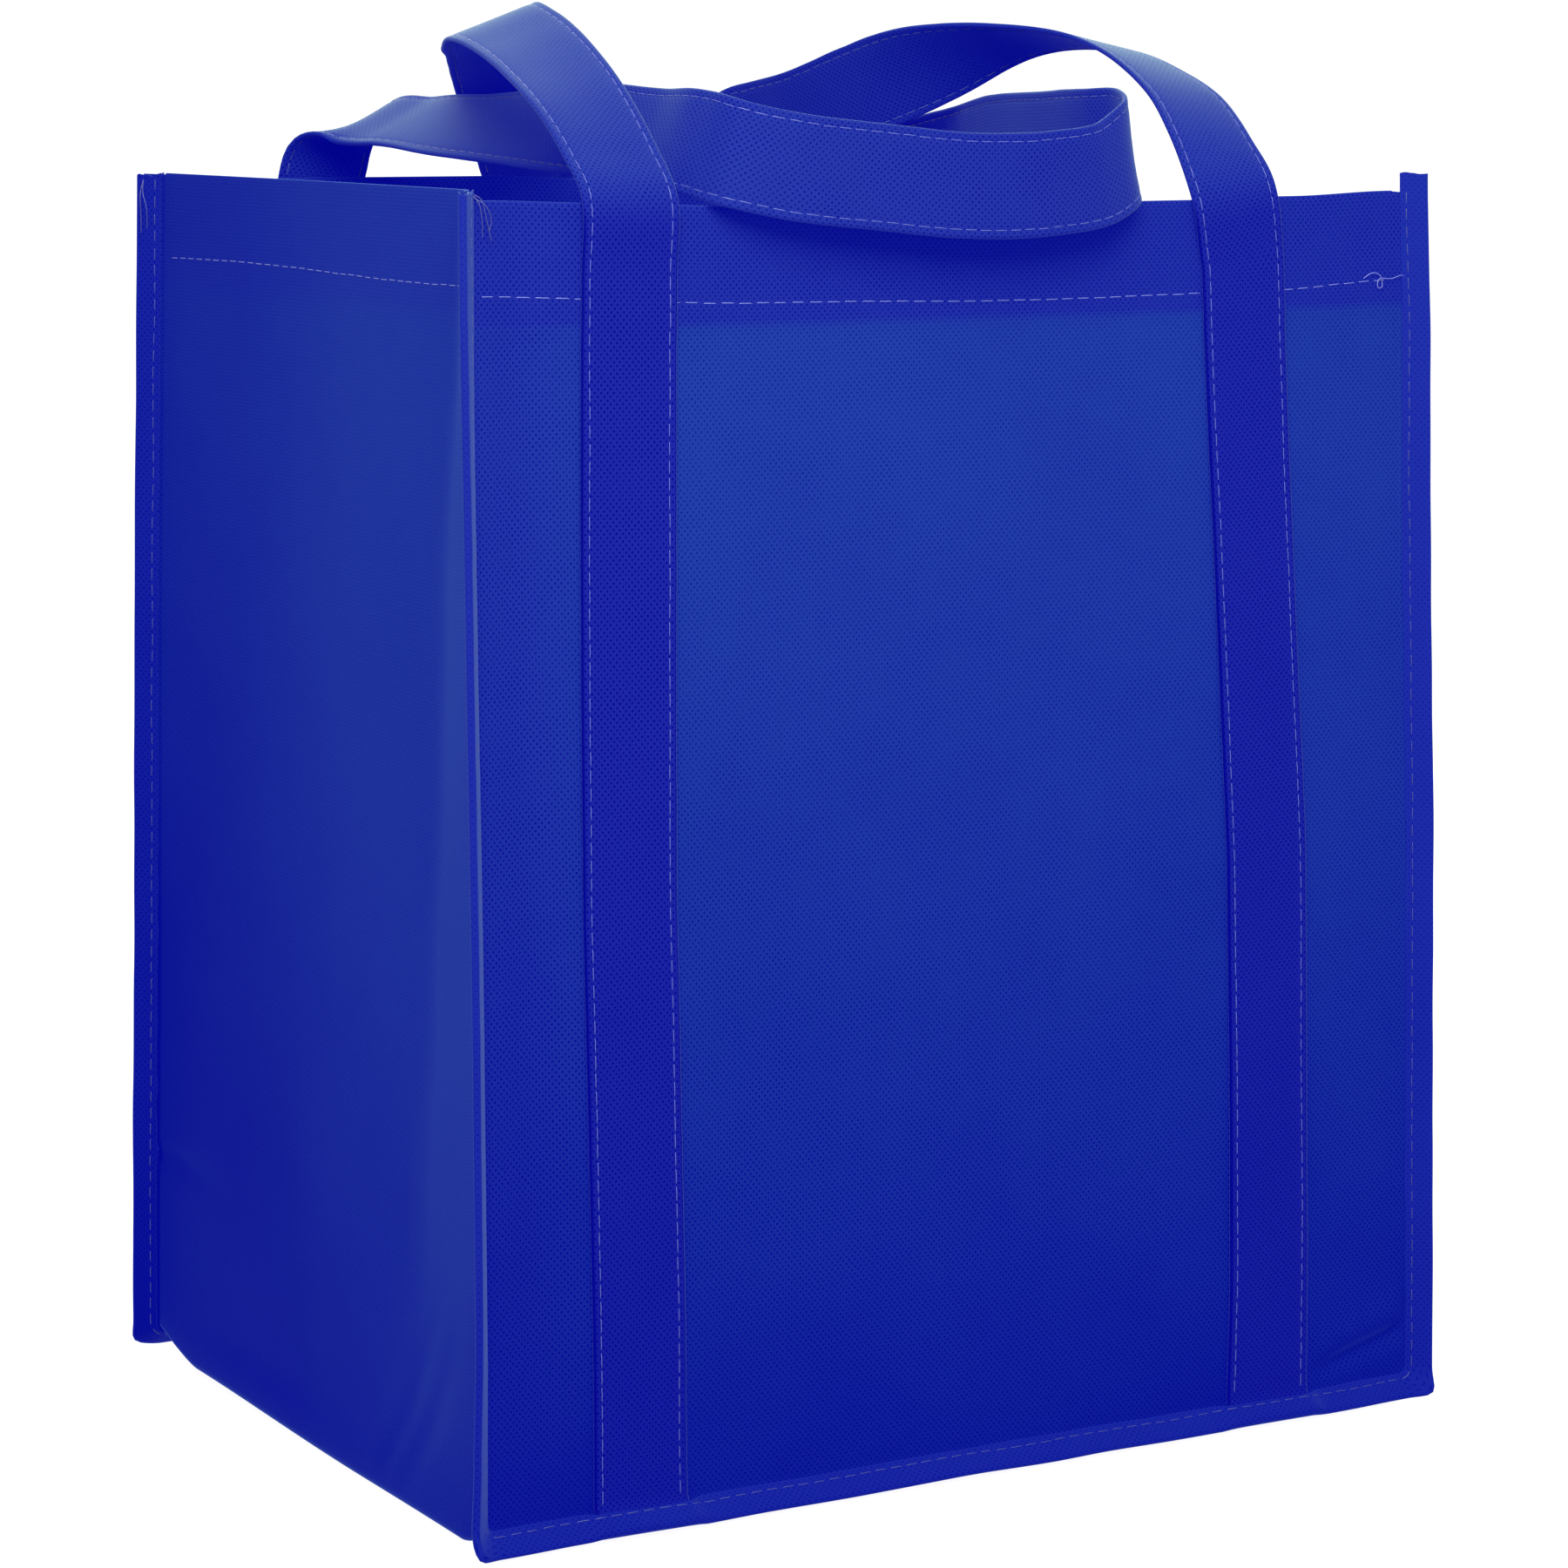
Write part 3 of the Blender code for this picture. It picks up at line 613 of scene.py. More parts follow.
@dataclass(frozen=True)
class EmbossedCloth:
    """Non-woven cloth, pressed all over with small staggered pits."""

    name: str
    tint: Triple = (0.0044, 0.0138, 0.040)
    # Painted shade: the darker tint where two layers let less light through, on hems and on strap
    # legs lying on the wall, and near the front's left seam.
    shaded_tint: Triple = (0.0042, 0.0082, 0.040)
    # The darkest colour, which the cloth's own pits, fibres and cloud and the painted shade and
    # shadow all darken towards.
    shade: Triple = (0.0003, 0.0010, 0.018)
    # Painted sheen: a paler colour mixed in where the cloth is seen at grazing angles.
    grazing_sheen: Triple = (0.050, 0.115, 0.16)
    grazing_sheen_power: float = 6.0
    pit_pitch: float = 1.7 * MM
    pit_row: float = 0.92 * MM
    pit_wander: float = 1.5
    pit_edge: Pair = (0.30, 0.92)
    pit_depth: float = 0.18 * MM
    pit_shade: float = 0.62
    double_pit_shade: float = 0.34
    # Painted shadow: the dark line along the edges of the strap legs.
    edge_shadow_shade: float = 0.9
    fibre_shade: float = 0.34
    fibre_height: float = 0.22
    cloud_shade: float = 0.30
    # Painted shade: the cloth darker towards the bottom.
    painted_low_shade: float = 0.8
    low_power: float = 1.8
    # Painted shade: the cloth darker towards the back of the bag.
    painted_back_shade: float = 0.62
    deep_from: float = -60.0 * MM
    deep_to: float = 110.0 * MM
    roughness: float = 0.72
    specular: float = 0.008
    # Painted light: a blue glow that keeps the cloth blue where it lies in shade.
    glow: float = 0.25

    def pits(self, bench: NodeBench, flat: object) -> bpy.types.NodeSocket:
        """Lay out the staggered rows of pits.

        Args:
            bench: The nodes of the cloth's material.
            flat: Coordinates on the flat cut cloth.

        Returns:
            1 in the middle of a pit and 0 between the pits.
        """
        split = bench.add("SeparateXYZ", {0: flat})
        wander = bench.math("SUBTRACT", bench.noise(flat, 420.0, 1.0), 0.5)
        wander = bench.math("MULTIPLY", wander, self.pit_wander)
        across = bench.math("MULTIPLY", split[0], math.tau / self.pit_pitch)
        along = bench.math("MULTIPLY", split[1], math.pi / self.pit_row)
        ways = [bench.math("COSINE", bench.math("ADD", way, wander)) for way in (across, along)]
        return bench.spread(bench.math("MULTIPLY", *ways), *self.pit_edge, "SMOOTHSTEP")

    def build(self) -> bpy.types.Material:
        """Make the node material.

        Returns:
            The finished material.
        """
        bench = NodeBench(self.name)
        flat = bench.add("UVMap", {}, uv_map="Flat")[0]
        patch = bench.math("MULTIPLY", bench.noise(flat, 95.0, 3.0), 0.9)
        pressed = bench.math("MULTIPLY", self.pits(bench, flat), bench.math("ADD", patch, 0.45))
        fibre = bench.noise(flat, 2600.0, 3.0)
        cloud = bench.math("SUBTRACT", bench.noise(flat, 22.0, 4.0), 0.5)
        # Share of painted shade from the layers attribute: hems and strap legs on the wall drawn
        # darker, the front's left seam too, and above 1 a painted shadow on the strap edges. It
        # also deepens the pits where the cloth has two layers.
        doubling_and_painted_shade = bench.add("Attribute", {}, attribute_name="layers")["Fac"]
        # Painted shadow on the strap edges, where that share rises above 1.
        painted_edge_shadow = bench.math("MAXIMUM", bench.math("SUBTRACT", doubling_and_painted_shade, 1.0), 0.0)
        pit_tone = bench.math("MULTIPLY", doubling_and_painted_shade, self.double_pit_shade)
        stand = bench.add("SeparateXYZ", {0: bench.add("TexCoord", {})["Object"]})
        # Painted shade: darker towards the bottom.
        low = bench.spread(stand[2], 330.0 * MM, 0.0)
        # Painted shade: darker towards the back.
        deep = bench.spread(stand[1], self.deep_from, self.deep_to, "SMOOTHSTEP")

        # The tone darkens towards the darkest colour: pits, fibres and cloud are the cloth's own
        # marks, while the edge shadow and the darkening towards the bottom and the back are
        # painted shade.
        tone = bench.math("MULTIPLY", pressed, bench.math("ADD", pit_tone, self.pit_shade))
        for source, weight in (
            (painted_edge_shadow, self.edge_shadow_shade),
            (bench.math("POWER", low, self.low_power), self.painted_low_shade),
            (deep, self.painted_back_shade),
            (bench.math("SUBTRACT", fibre, 0.5), self.fibre_shade),
            (cloud, self.cloud_shade),
        ):
            tone = bench.math("ADD", tone, bench.math("MULTIPLY", source, weight))
        clean = bench.add("Clamp", {"Value": tone})[0]
        # Colour with the cloth's own marks and the painted shade.
        pattern_and_painted_shade = bench.mix(bench.mix(self.tint, self.shaded_tint, doubling_and_painted_shade), self.shade, clean)
        # Painted sheen: the colour turns paler where the cloth is seen at grazing angles.
        facing = bench.add("LayerWeight", {"Blend": 0.5})["Facing"]
        grazing = bench.math("POWER", facing, self.grazing_sheen_power)
        bench.feed(bench.shader.inputs["Base Color"], bench.mix(pattern_and_painted_shade, self.grazing_sheen, grazing))

        height = bench.math("MULTIPLY", pressed, -1.0)
        height = bench.math("ADD", height, bench.math("MULTIPLY", fibre, self.fibre_height))
        bench.bump(height, self.pit_depth)
        return bench.finish(
            self.tint,
            {
                "Roughness": self.roughness,
                "Specular IOR Level": self.specular,
                # Painted light: the blue glow keeps shaded cloth blue.
                "Emission Color": (0.0, 0.0, 1.0),
                "Emission Strength": self.glow,
            },
        )


@dataclass(frozen=True)
class PlainFinish:
    """A finish of one colour with a fine grain, for thread, board and floor."""

    name: str
    colour: Triple
    roughness: float
    grain: float = 900.0
    grain_depth: float = 0.03 * MM
    uneven: float = 0.12
    glow: float = 0.0

    def build(self) -> bpy.types.Material:
        """Make the node material.

        Returns:
            The finished material.
        """
        bench = NodeBench(self.name)
        grain = bench.noise(bench.add("TexCoord", {})["Object"], self.grain, 3.0)
        feeds = {"Value": grain, "To Min": 1.0 - self.uneven, "To Max": 1.0 + self.uneven}
        tone = bench.add("MapRange", feeds)[0]
        tinted = bench.add("VectorMath", {0: self.colour, "Scale": tone}, operation="SCALE")[0]
        bench.feed(bench.shader.inputs["Base Color"], tinted)
        bench.bump(grain, self.grain_depth)
        return bench.finish(
            self.colour,
            {
                "Roughness": self.roughness,
                "Emission Color": (1.0, 1.0, 1.0),
                "Emission Strength": self.glow,
            },
        )


@dataclass
class Workroom:
    """What every piece of the bag is made with: its form and its finishes."""

    form: ToteForm = field(default_factory=ToteForm)
    cloth: EmbossedCloth = EmbossedCloth("Royal blue wall cloth")
    # The wall cloth again, with less painted shade towards the back, for the back panel.
    back_cloth: EmbossedCloth = EmbossedCloth("Royal blue back cloth", painted_back_shade=0.1)
    tape: EmbossedCloth = EmbossedCloth(
        "Royal blue tape cloth",
        tint=(0.0040, 0.0084, 0.044),
        # Painted sheen at grazing angles.
        grazing_sheen=(0.065, 0.11, 0.14),
        grazing_sheen_power=4.0,
        pit_depth=0.08 * MM,
        pit_shade=0.5,
        # Painted shade towards the bottom and the back.
        painted_low_shade=0.45,
        painted_back_shade=0.5,
    )
    strap: EmbossedCloth = EmbossedCloth(
        "Royal blue strap cloth",
        tint=(0.0050, 0.0098, 0.040),
        # Painted shade: the strap legs lying on the wall are darker than the free loops.
        shaded_tint=(0.0034, 0.0056, 0.038),
        shade=(0.0002, 0.0005, 0.012),
        # Painted sheen at grazing angles.
        grazing_sheen=(0.09, 0.14, 0.11),
        grazing_sheen_power=4.0,
        pit_shade=0.8,
        double_pit_shade=0.35,
        pit_depth=0.2 * MM,
        # Painted shade towards the bottom and the back.
        painted_low_shade=0.45,
        painted_back_shade=0.1,
    )
    hem_thread: PlainFinish = PlainFinish("Pale hem thread", (0.052, 0.064, 0.22), 0.5, 3000.0)
    strap_thread: PlainFinish = PlainFinish(
        "Blue strap thread", (0.028, 0.038, 0.17), 0.5, 3000.0
    )
    tape_thread: PlainFinish = PlainFinish("Deep blue thread", (0.009, 0.014, 0.10), 0.5, 3000.0)
    board: PlainFinish = PlainFinish("Grey base board", (0.035, 0.037, 0.045), 0.55)
    made: dict[str, bpy.types.Material] = field(default_factory=dict)

    def finish(self, recipe: EmbossedCloth | PlainFinish) -> bpy.types.Material:
        """Make the material of a recipe, once.

        Args:
            recipe: The recipe.

        Returns:
            Its material.
        """
        if recipe.name not in self.made:
            self.made[recipe.name] = recipe.build()
        return self.made[recipe.name]

    def lay_cloth(
        self,
        name: str,
        size: tuple[int, int],
        place: Callable[[int, int], Vector],
        flat: Callable[[int, int], Pair],
        layers: Callable[[int, int], float] | None = None,
        drop: Callable[[int, int], bool] | None = None,
    ) -> bpy.types.Object:
        """Lay a grid out as a piece of cloth.

        Args:
            name: Name of the piece.
            size: Counts of columns and rows of points.
            place: Gives the point of a column and row on the square bag.
            flat: Gives its place on the flat cut cloth, in metres.
            layers: Gives how much painted shade a point takes, where the cloth has two layers and
                where a shadow is painted.
            drop: Says whether the cell that starts at a column and row is cut away.

        Returns:
            The piece, without thickness.
        """
        columns, rows = size
        deselect_all()
        bpy.ops.mesh.primitive_grid_add(
            x_subdivisions=columns - 1, y_subdivisions=rows - 1, size=1.0, calc_uvs=True
        )
        piece = bpy.context.object
        piece.name = name
        mesh = piece.data
        mesh.name = name
        marks = mesh.attributes.new("layers", "FLOAT", "POINT")
        for vertex in mesh.vertices:
            j, i = divmod(vertex.index, columns)
            vertex.co = self.form.settle(place(i, j))
            marks.data[vertex.index].value = layers(i, j) if layers else 0.0
        chart = mesh.uv_layers.active
        chart.name = "Flat"
        for loop in mesh.loops:
            j, i = divmod(loop.vertex_index, columns)
            chart.data[loop.index].uv = flat(i, j)
        if drop:
            bpy.ops.object.mode_set(mode="EDIT")
            bpy.ops.mesh.select_mode(type="FACE")
            bpy.ops.mesh.select_all(action="DESELECT")
            bpy.ops.object.mode_set(mode="OBJECT")
            for index, polygon in enumerate(mesh.polygons):
                j, i = divmod(index, columns - 1)
                polygon.select = drop(i, j)
            bpy.ops.object.mode_set(mode="EDIT")
            bpy.ops.mesh.delete(type="FACE")
            bpy.ops.object.mode_set(mode="OBJECT")
        return piece

    def thicken(self, piece: bpy.types.Object, thickness: float) -> None:
        """Give a cloth its thickness, half on each side of its middle.

        Args:
            piece: The cloth.
            thickness: Its thickness.
        """
        only(piece)
        solid = piece.modifiers.new("Cloth thickness", "SOLIDIFY")
        solid.thickness = thickness
        solid.offset = 0.0
        solid.use_even_offset = True
        solid.thickness_clamp = 1.0
        bpy.ops.object.modifier_apply(modifier=solid.name)

    def hand_over(
        self,
        piece: bpy.types.Object,
        recipe: EmbossedCloth | PlainFinish,
        slot: str,
        nodes: Sequence[str] = (),
        angle: float = 50.0,
    ) -> None:
        """Smooth, dress and attach a finished piece.

        Args:
            piece: The finished piece.
            recipe: Its finish.
            slot: Not used.
            nodes: CAD nodes that it stands for.
            angle: Edges sharper than this many degrees stay sharp.
        """
        piece.data.materials.clear()
        piece.data.materials.append(self.finish(recipe))
        only(piece)
        bpy.ops.object.shade_smooth_by_angle(angle=math.radians(angle))
        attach(piece, "root")
        if nodes:
            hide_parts(*nodes)
        log.info("%s: %d faces", piece.name, len(piece.data.polygons))


@dataclass
class WallPanel:
    """The front or back sheet, with its hem folded in and its margins turned out."""

    room: Workroom
    face: Face
    fold_steps: int = 6
    hem_steps: int = 12
    coarse: float = 3.0 * MM
    fine: float = 1.5 * MM
    finer: float = 1.2 * MM
    margin_step: float = 2.0 * MM
    fine_band: float = 30.0 * MM
    hem_band: float = 36.0 * MM
    rim_band: float = 45.0 * MM
    hem_slack: float = 0.5 * MM
    # Painted shade near the front's left seam, where the panel turns from the light.
    painted_side_shade: float = 0.7
    painted_side_shade_x: Pair = (-100.0 * MM, -128.0 * MM)
    columns: list[float] = field(default_factory=list)
    rows: list[float] = field(default_factory=list)
    rim_row: int = 0

    def __post_init__(self) -> None:
        """Set out the grid of the flat cloth: columns in x, rows up from the seam."""
        form = self.room.form
        half = form.width / 2
        inner = half - self.fine_band
        edge = spaced((inner, half, self.fine), (half, half + form.flange, self.margin_step))
        middle = spaced((-inner, inner, self.coarse))
        self.columns = [-x for x in reversed(edge)][:-1] + middle + edge[1:]
        wall = form.height - form.rim_fold - form.seam_height
        self.rows = spaced(
            (-form.flange, 0.0, self.margin_step),
            (0.0, self.fine_band, self.finer),
            (self.fine_band, wall - self.hem_band, self.coarse),
            (wall - self.hem_band, wall, self.finer),
        )
        self.rim_row = len(self.rows) - 1
        fold = math.pi * form.sheet_pitch / 2
        self.rows += steps(wall, wall + fold, self.fold_steps)[1:]
        self.rows += steps(wall + fold, wall + fold + form.hem, self.hem_steps)[1:]

    def seam_place(self, a: float, b: float) -> tuple[float, Station]:
        """Measure a flat point from the seam line.

        Args:
            a: Flat x of the point.
            b: Flat height of the point above the seam's lowest line.

        Returns:
            How far outside the seam it lies, and the nearest seam station.
        """
        form = self.room.form
        sign = math.copysign(1.0, a)
        z = b + form.seam_height
        out = abs(a) - form.width / 2
        radius = form.corner_radius
        if b < radius and abs(a) > form.width / 2 - radius:
            dx, dz = out + radius, b - radius
            reach = math.hypot(dx, dz)
            normal = (sign * dx / reach, dz / reach)
            centre_z = form.seam_height + radius
            centre_x = form.side_x(centre_z) - radius
            point = (sign * centre_x + radius * normal[0], centre_z + radius * normal[1])
            return reach - radius, (point, normal)
        if -b > out:
            return -b, ((a, form.seam_height), (0.0, -1.0))
        tilt = math.atan2(form.mouth_inset_x, form.height)
        normal = (sign * math.cos(tilt), math.sin(tilt))
        return out, ((sign * form.side_x(z), z), normal)

    def place(self, i: int, j: int) -> Vector:
        """Find a point of the cloth on the square bag.

        Args:
            i: Its column.
            j: Its row.

        Returns:
            The point.
        """
        form = self.room.form
        a = self.columns[i] * -self.face.value
        b = self.rows[min(j, self.rim_row)]
        z = b + form.seam_height
        outward, upward = form.axes(self.face)
        away, (seam, normal) = self.seam_place(a, b)
        if away > -1e-6:
            root, fin, across = form.seam_frame(self.face, seam, normal)
            point = root + across * form.sheet_pitch / 2 + fin * min(max(away, 0.0), form.flange)
        else:
            x = a / (form.width / 2) * form.side_x(z)
            point = Vector((x, self.face.value * form.panel_y(z), z))
            point += outward * form.sheet_pitch / 2 * ROOT_HALF
        top = ease(form.height - self.rim_band, form.height, z)
        point -= upward * form.rim_drop(self.face, point.x) * top
        if j <= self.rim_row:
            return point
        inner = form.side_x(form.height) - form.hem_end_inset
        point.x = clamp(a / (form.width / 2), -1.0, 1.0) * inner
        radius = form.sheet_pitch / 2
        if j <= self.rim_row + self.fold_steps:
            angle = math.pi * (j - self.rim_row) / self.fold_steps
            turn = outward * (math.cos(angle) - 1.0) + upward * math.sin(angle)
            return point + turn * radius
        down = self.rows[j] - self.rows[self.rim_row + self.fold_steps]
        curl = unevenness(point.x * 30.0, 2.0, 4.0) * 0.5 + 0.4
        slack = self.hem_slack * curl * (down / form.hem) ** 2
        return point - outward * (form.sheet_pitch + slack) - upward * down

    def flat(self, i: int, j: int) -> Pair:
        """Return the place of column i and row j on the cut cloth."""
        return self.columns[i], self.rows[j]

    def layers(self, i: int, j: int) -> float:
        """Find how much painted shade a point takes, on the hem and near the front's left seam.

        Args:
            i: Its column.
            j: Its row.

        Returns:
            0 for none, 1 on the hem, and up to 0.7 near the front's left seam.
        """
        form = self.room.form
        start = self.rows[self.rim_row] - form.hem
        hem = ease(start - 1.0 * MM, start + 1.0 * MM, self.rows[j])
        if self.face is Face.BACK:
            return hem
        # Painted shade near the front's left seam, where the panel turns from the light.
        return max(hem, self.painted_side_shade * ease(*self.painted_side_shade_x, self.columns[i]))

    def drop(self, i: int, j: int) -> bool:
        """Say whether a cell is cut away, at the hem's ends and the round corners.

        Args:
            i: The column where it starts.
            j: The row where it starts.

        Returns:
            True for a cell to cut away.
        """
        form = self.room.form
        middle = (self.columns[i] + self.columns[i + 1]) / 2
        if j >= self.rim_row:
            return abs(middle) > form.width / 2
        corners = [(self.columns[k], self.rows[n]) for k in (i, i + 1) for n in (j, j + 1)]
        return min(self.seam_place(a, b)[0] for a, b in corners) > form.flange - 1e-4

    def make(self) -> bpy.types.Object:
        """Returns:
            The finished piece.
        """
        word = self.face.name.lower()
        size = (len(self.columns), len(self.rows))
        piece = self.room.lay_cloth(
            f"{word}_panel_cloth", size, self.place, self.flat, self.layers, self.drop
        )
        self.room.thicken(piece, self.room.form.cloth)
        cloth = self.room.cloth if self.face is Face.FRONT else self.room.back_cloth
        self.room.hand_over(piece, cloth, "cloth", [f"{word}_panel"])
        return piece


@dataclass
class SideGusset:
    """Side, base and side in one sheet, hemmed at both ends and turned out along both edges."""

    room: Workroom
    counts: tuple[int, int, int] = (108, 7, 88)
    fold_steps: int = 6
    hem_steps: int = 10
    hem_slack: float = 0.4 * MM
    shares: list[float] = field(default_factory=list)
    lengths: list[float] = field(default_factory=list)

    def __post_init__(self) -> None:
        """Set out the rows across the depth and the columns along the cloth."""
        form = self.room.form
        end = 1.0 - form.flank_hem_inset / form.panel_y(form.height)
        flat = 1.0 - form.base_rise_length / (form.depth / 2)
        half = spaced((0.0, 0.55, 0.03), (0.55, flat, 0.025), (flat, end, 0.013))
        self.shares = [-s for s in reversed(half)][:-1] + half
        self.shares = [-3.0, -2.0, -1.0] + self.shares + [1.0, 2.0, 3.0]
        walk = form.outline(
            form.base_height(0.0), form.gusset_tops(1.0), self.counts, form.base_fold_radius
        )
        self.lengths = distances([point for point, _ in walk])

    @property
    def hem_columns(self) -> int:
        """Return how many columns each hem adds beyond the rim."""
        return self.fold_steps + self.hem_steps

    def walk_at(self, share: float) -> list[Station]:
        """Walk the whole outline at one place along the depth.

        Args:
            share: The place, from -1 at the front seam to 1 at the back one.

        Returns:
            Its stations.
        """
        form = self.room.form
        tops = form.gusset_tops(share)
        if abs(share) >= 1.0:
            return form.outline(form.seam_height, tops, self.counts, form.corner_radius)
        spread = form.corner_radius - form.base_fold_radius
        radius = form.base_fold_radius + spread * share**4
        return form.outline(form.base_height(share), tops, self.counts, radius)

    def make(self) -> bpy.types.Object:
        """Returns:
            The finished piece.
        """
        form = self.room.form
        walks = [self.walk_at(share) for share in self.shares]
        count = len(walks[0])
        extra = self.hem_columns
        half_pitch = form.sheet_pitch / 2
        widen = half_pitch * ROOT_HALF

        def rim_or_wall(k: int, j: int) -> Vector:
            """Find a point of the outline on the square bag.

            Args:
                k: Its station.
                j: Its row.

            Returns:
                The point, on the wall or on the margin beyond its seam.
            """
            share = self.shares[j]
            (x, z), normal = walks[j][k]
            if abs(share) >= 1.0:
                face = Face.BACK if share > 0 else Face.FRONT
                root, fin, across = form.seam_frame(face, (x, z), normal)
                return root - across * half_pitch + fin * form.flange * (abs(share) - 1.0) / 2
            wide = x + math.copysign(widen, x) * abs(normal[0])
            return Vector((wide, share * (form.panel_y(z) - widen), z))

        def place(i: int, j: int) -> Vector:
            """Find a point of the cloth on the square bag, hems included.

            Args:
                i: Its column.
                j: Its row.

            Returns:
                The point.
            """
            k = clamp(i - extra, 0, count - 1)
            point = rim_or_wall(int(k), j)
            beyond = max(extra - i, i - extra - count + 1, 0)
            if not beyond:
                return point
            inward = Vector((-math.copysign(1.0, point.x), 0.0, 0.0))
            if beyond <= self.fold_steps:
                angle = math.pi * beyond / self.fold_steps
                lift = Vector((0.0, 0.0, math.sin(angle)))
                return point + (inward * (1.0 - math.cos(angle)) + lift) * half_pitch
            down = form.hem * (beyond - self.fold_steps) / self.hem_steps
            low_z = point.z - down
            lean = form.side_x(low_z) - form.side_x(point.z)
            slack = self.hem_slack * (unevenness(point.y * 30.0, 8.0, 1.0) * 0.5 + 0.5)
            shift = inward * (form.sheet_pitch + slack * (down / form.hem) ** 2 - lean)
            deeper = self.shares[j] * (form.panel_y(low_z) - form.panel_y(point.z))
            return point + shift + Vector((0.0, deeper, -down))

        def flat(i: int, j: int) -> Pair:
            """Find the place of a point on the cut cloth.

            Args:
                i: Its column.
                j: Its row.

            Returns:
                The place along the depth and along the strip.
            """
            k = int(clamp(i - extra, 0, count - 1))
            beyond = max(extra - i, i - extra - count + 1, 0)
            fold = math.pi * half_pitch
            run = fold * min(beyond, self.fold_steps) / self.fold_steps
            run += form.hem * max(beyond - self.fold_steps, 0) / self.hem_steps
            length = self.lengths[k] + (run if i > extra else -run)
            share = self.shares[j]
            half = form.depth / 2
            beyond_seam = form.flange * (abs(share) - 1.0) / 2 if abs(share) > 1.0 else 0.0
            depth = math.copysign(min(abs(share), 1.0) * half + beyond_seam, share)
            return depth, length

        def layers(i: int, j: int) -> float:
            """Find how much painted shade a point takes where a hem doubles the cloth.

            Args:
                i: Its column.
                j: Not used.

            Returns:
                0 for single cloth and 0.5 for the hem.
            """
            k = int(clamp(i - extra, 0, count - 1))
            from_rim = min(self.lengths[k], self.lengths[-1] - self.lengths[k])
            return 0.5 - 0.5 * ease(form.hem - 1.5 * MM, form.hem + 1.5 * MM, from_rim)

        def drop(i: int, j: int) -> bool:
            """Say whether a cell is cut away, at the ends of the hems."""
            hem_cell = i < extra or i >= extra + count - 1
            return hem_cell and (abs(self.shares[j]) >= 1.0 or abs(self.shares[j + 1]) >= 1.0)

        size = (count + 2 * extra, len(self.shares))
        piece = self.room.lay_cloth("gusset_cloth", size, place, flat, layers, drop)
        with editing(piece):
            bpy.ops.mesh.flip_normals()
        self.room.thicken(piece, form.cloth)
        self.room.hand_over(piece, self.room.cloth, "cloth", ["gusset"])
        return piece


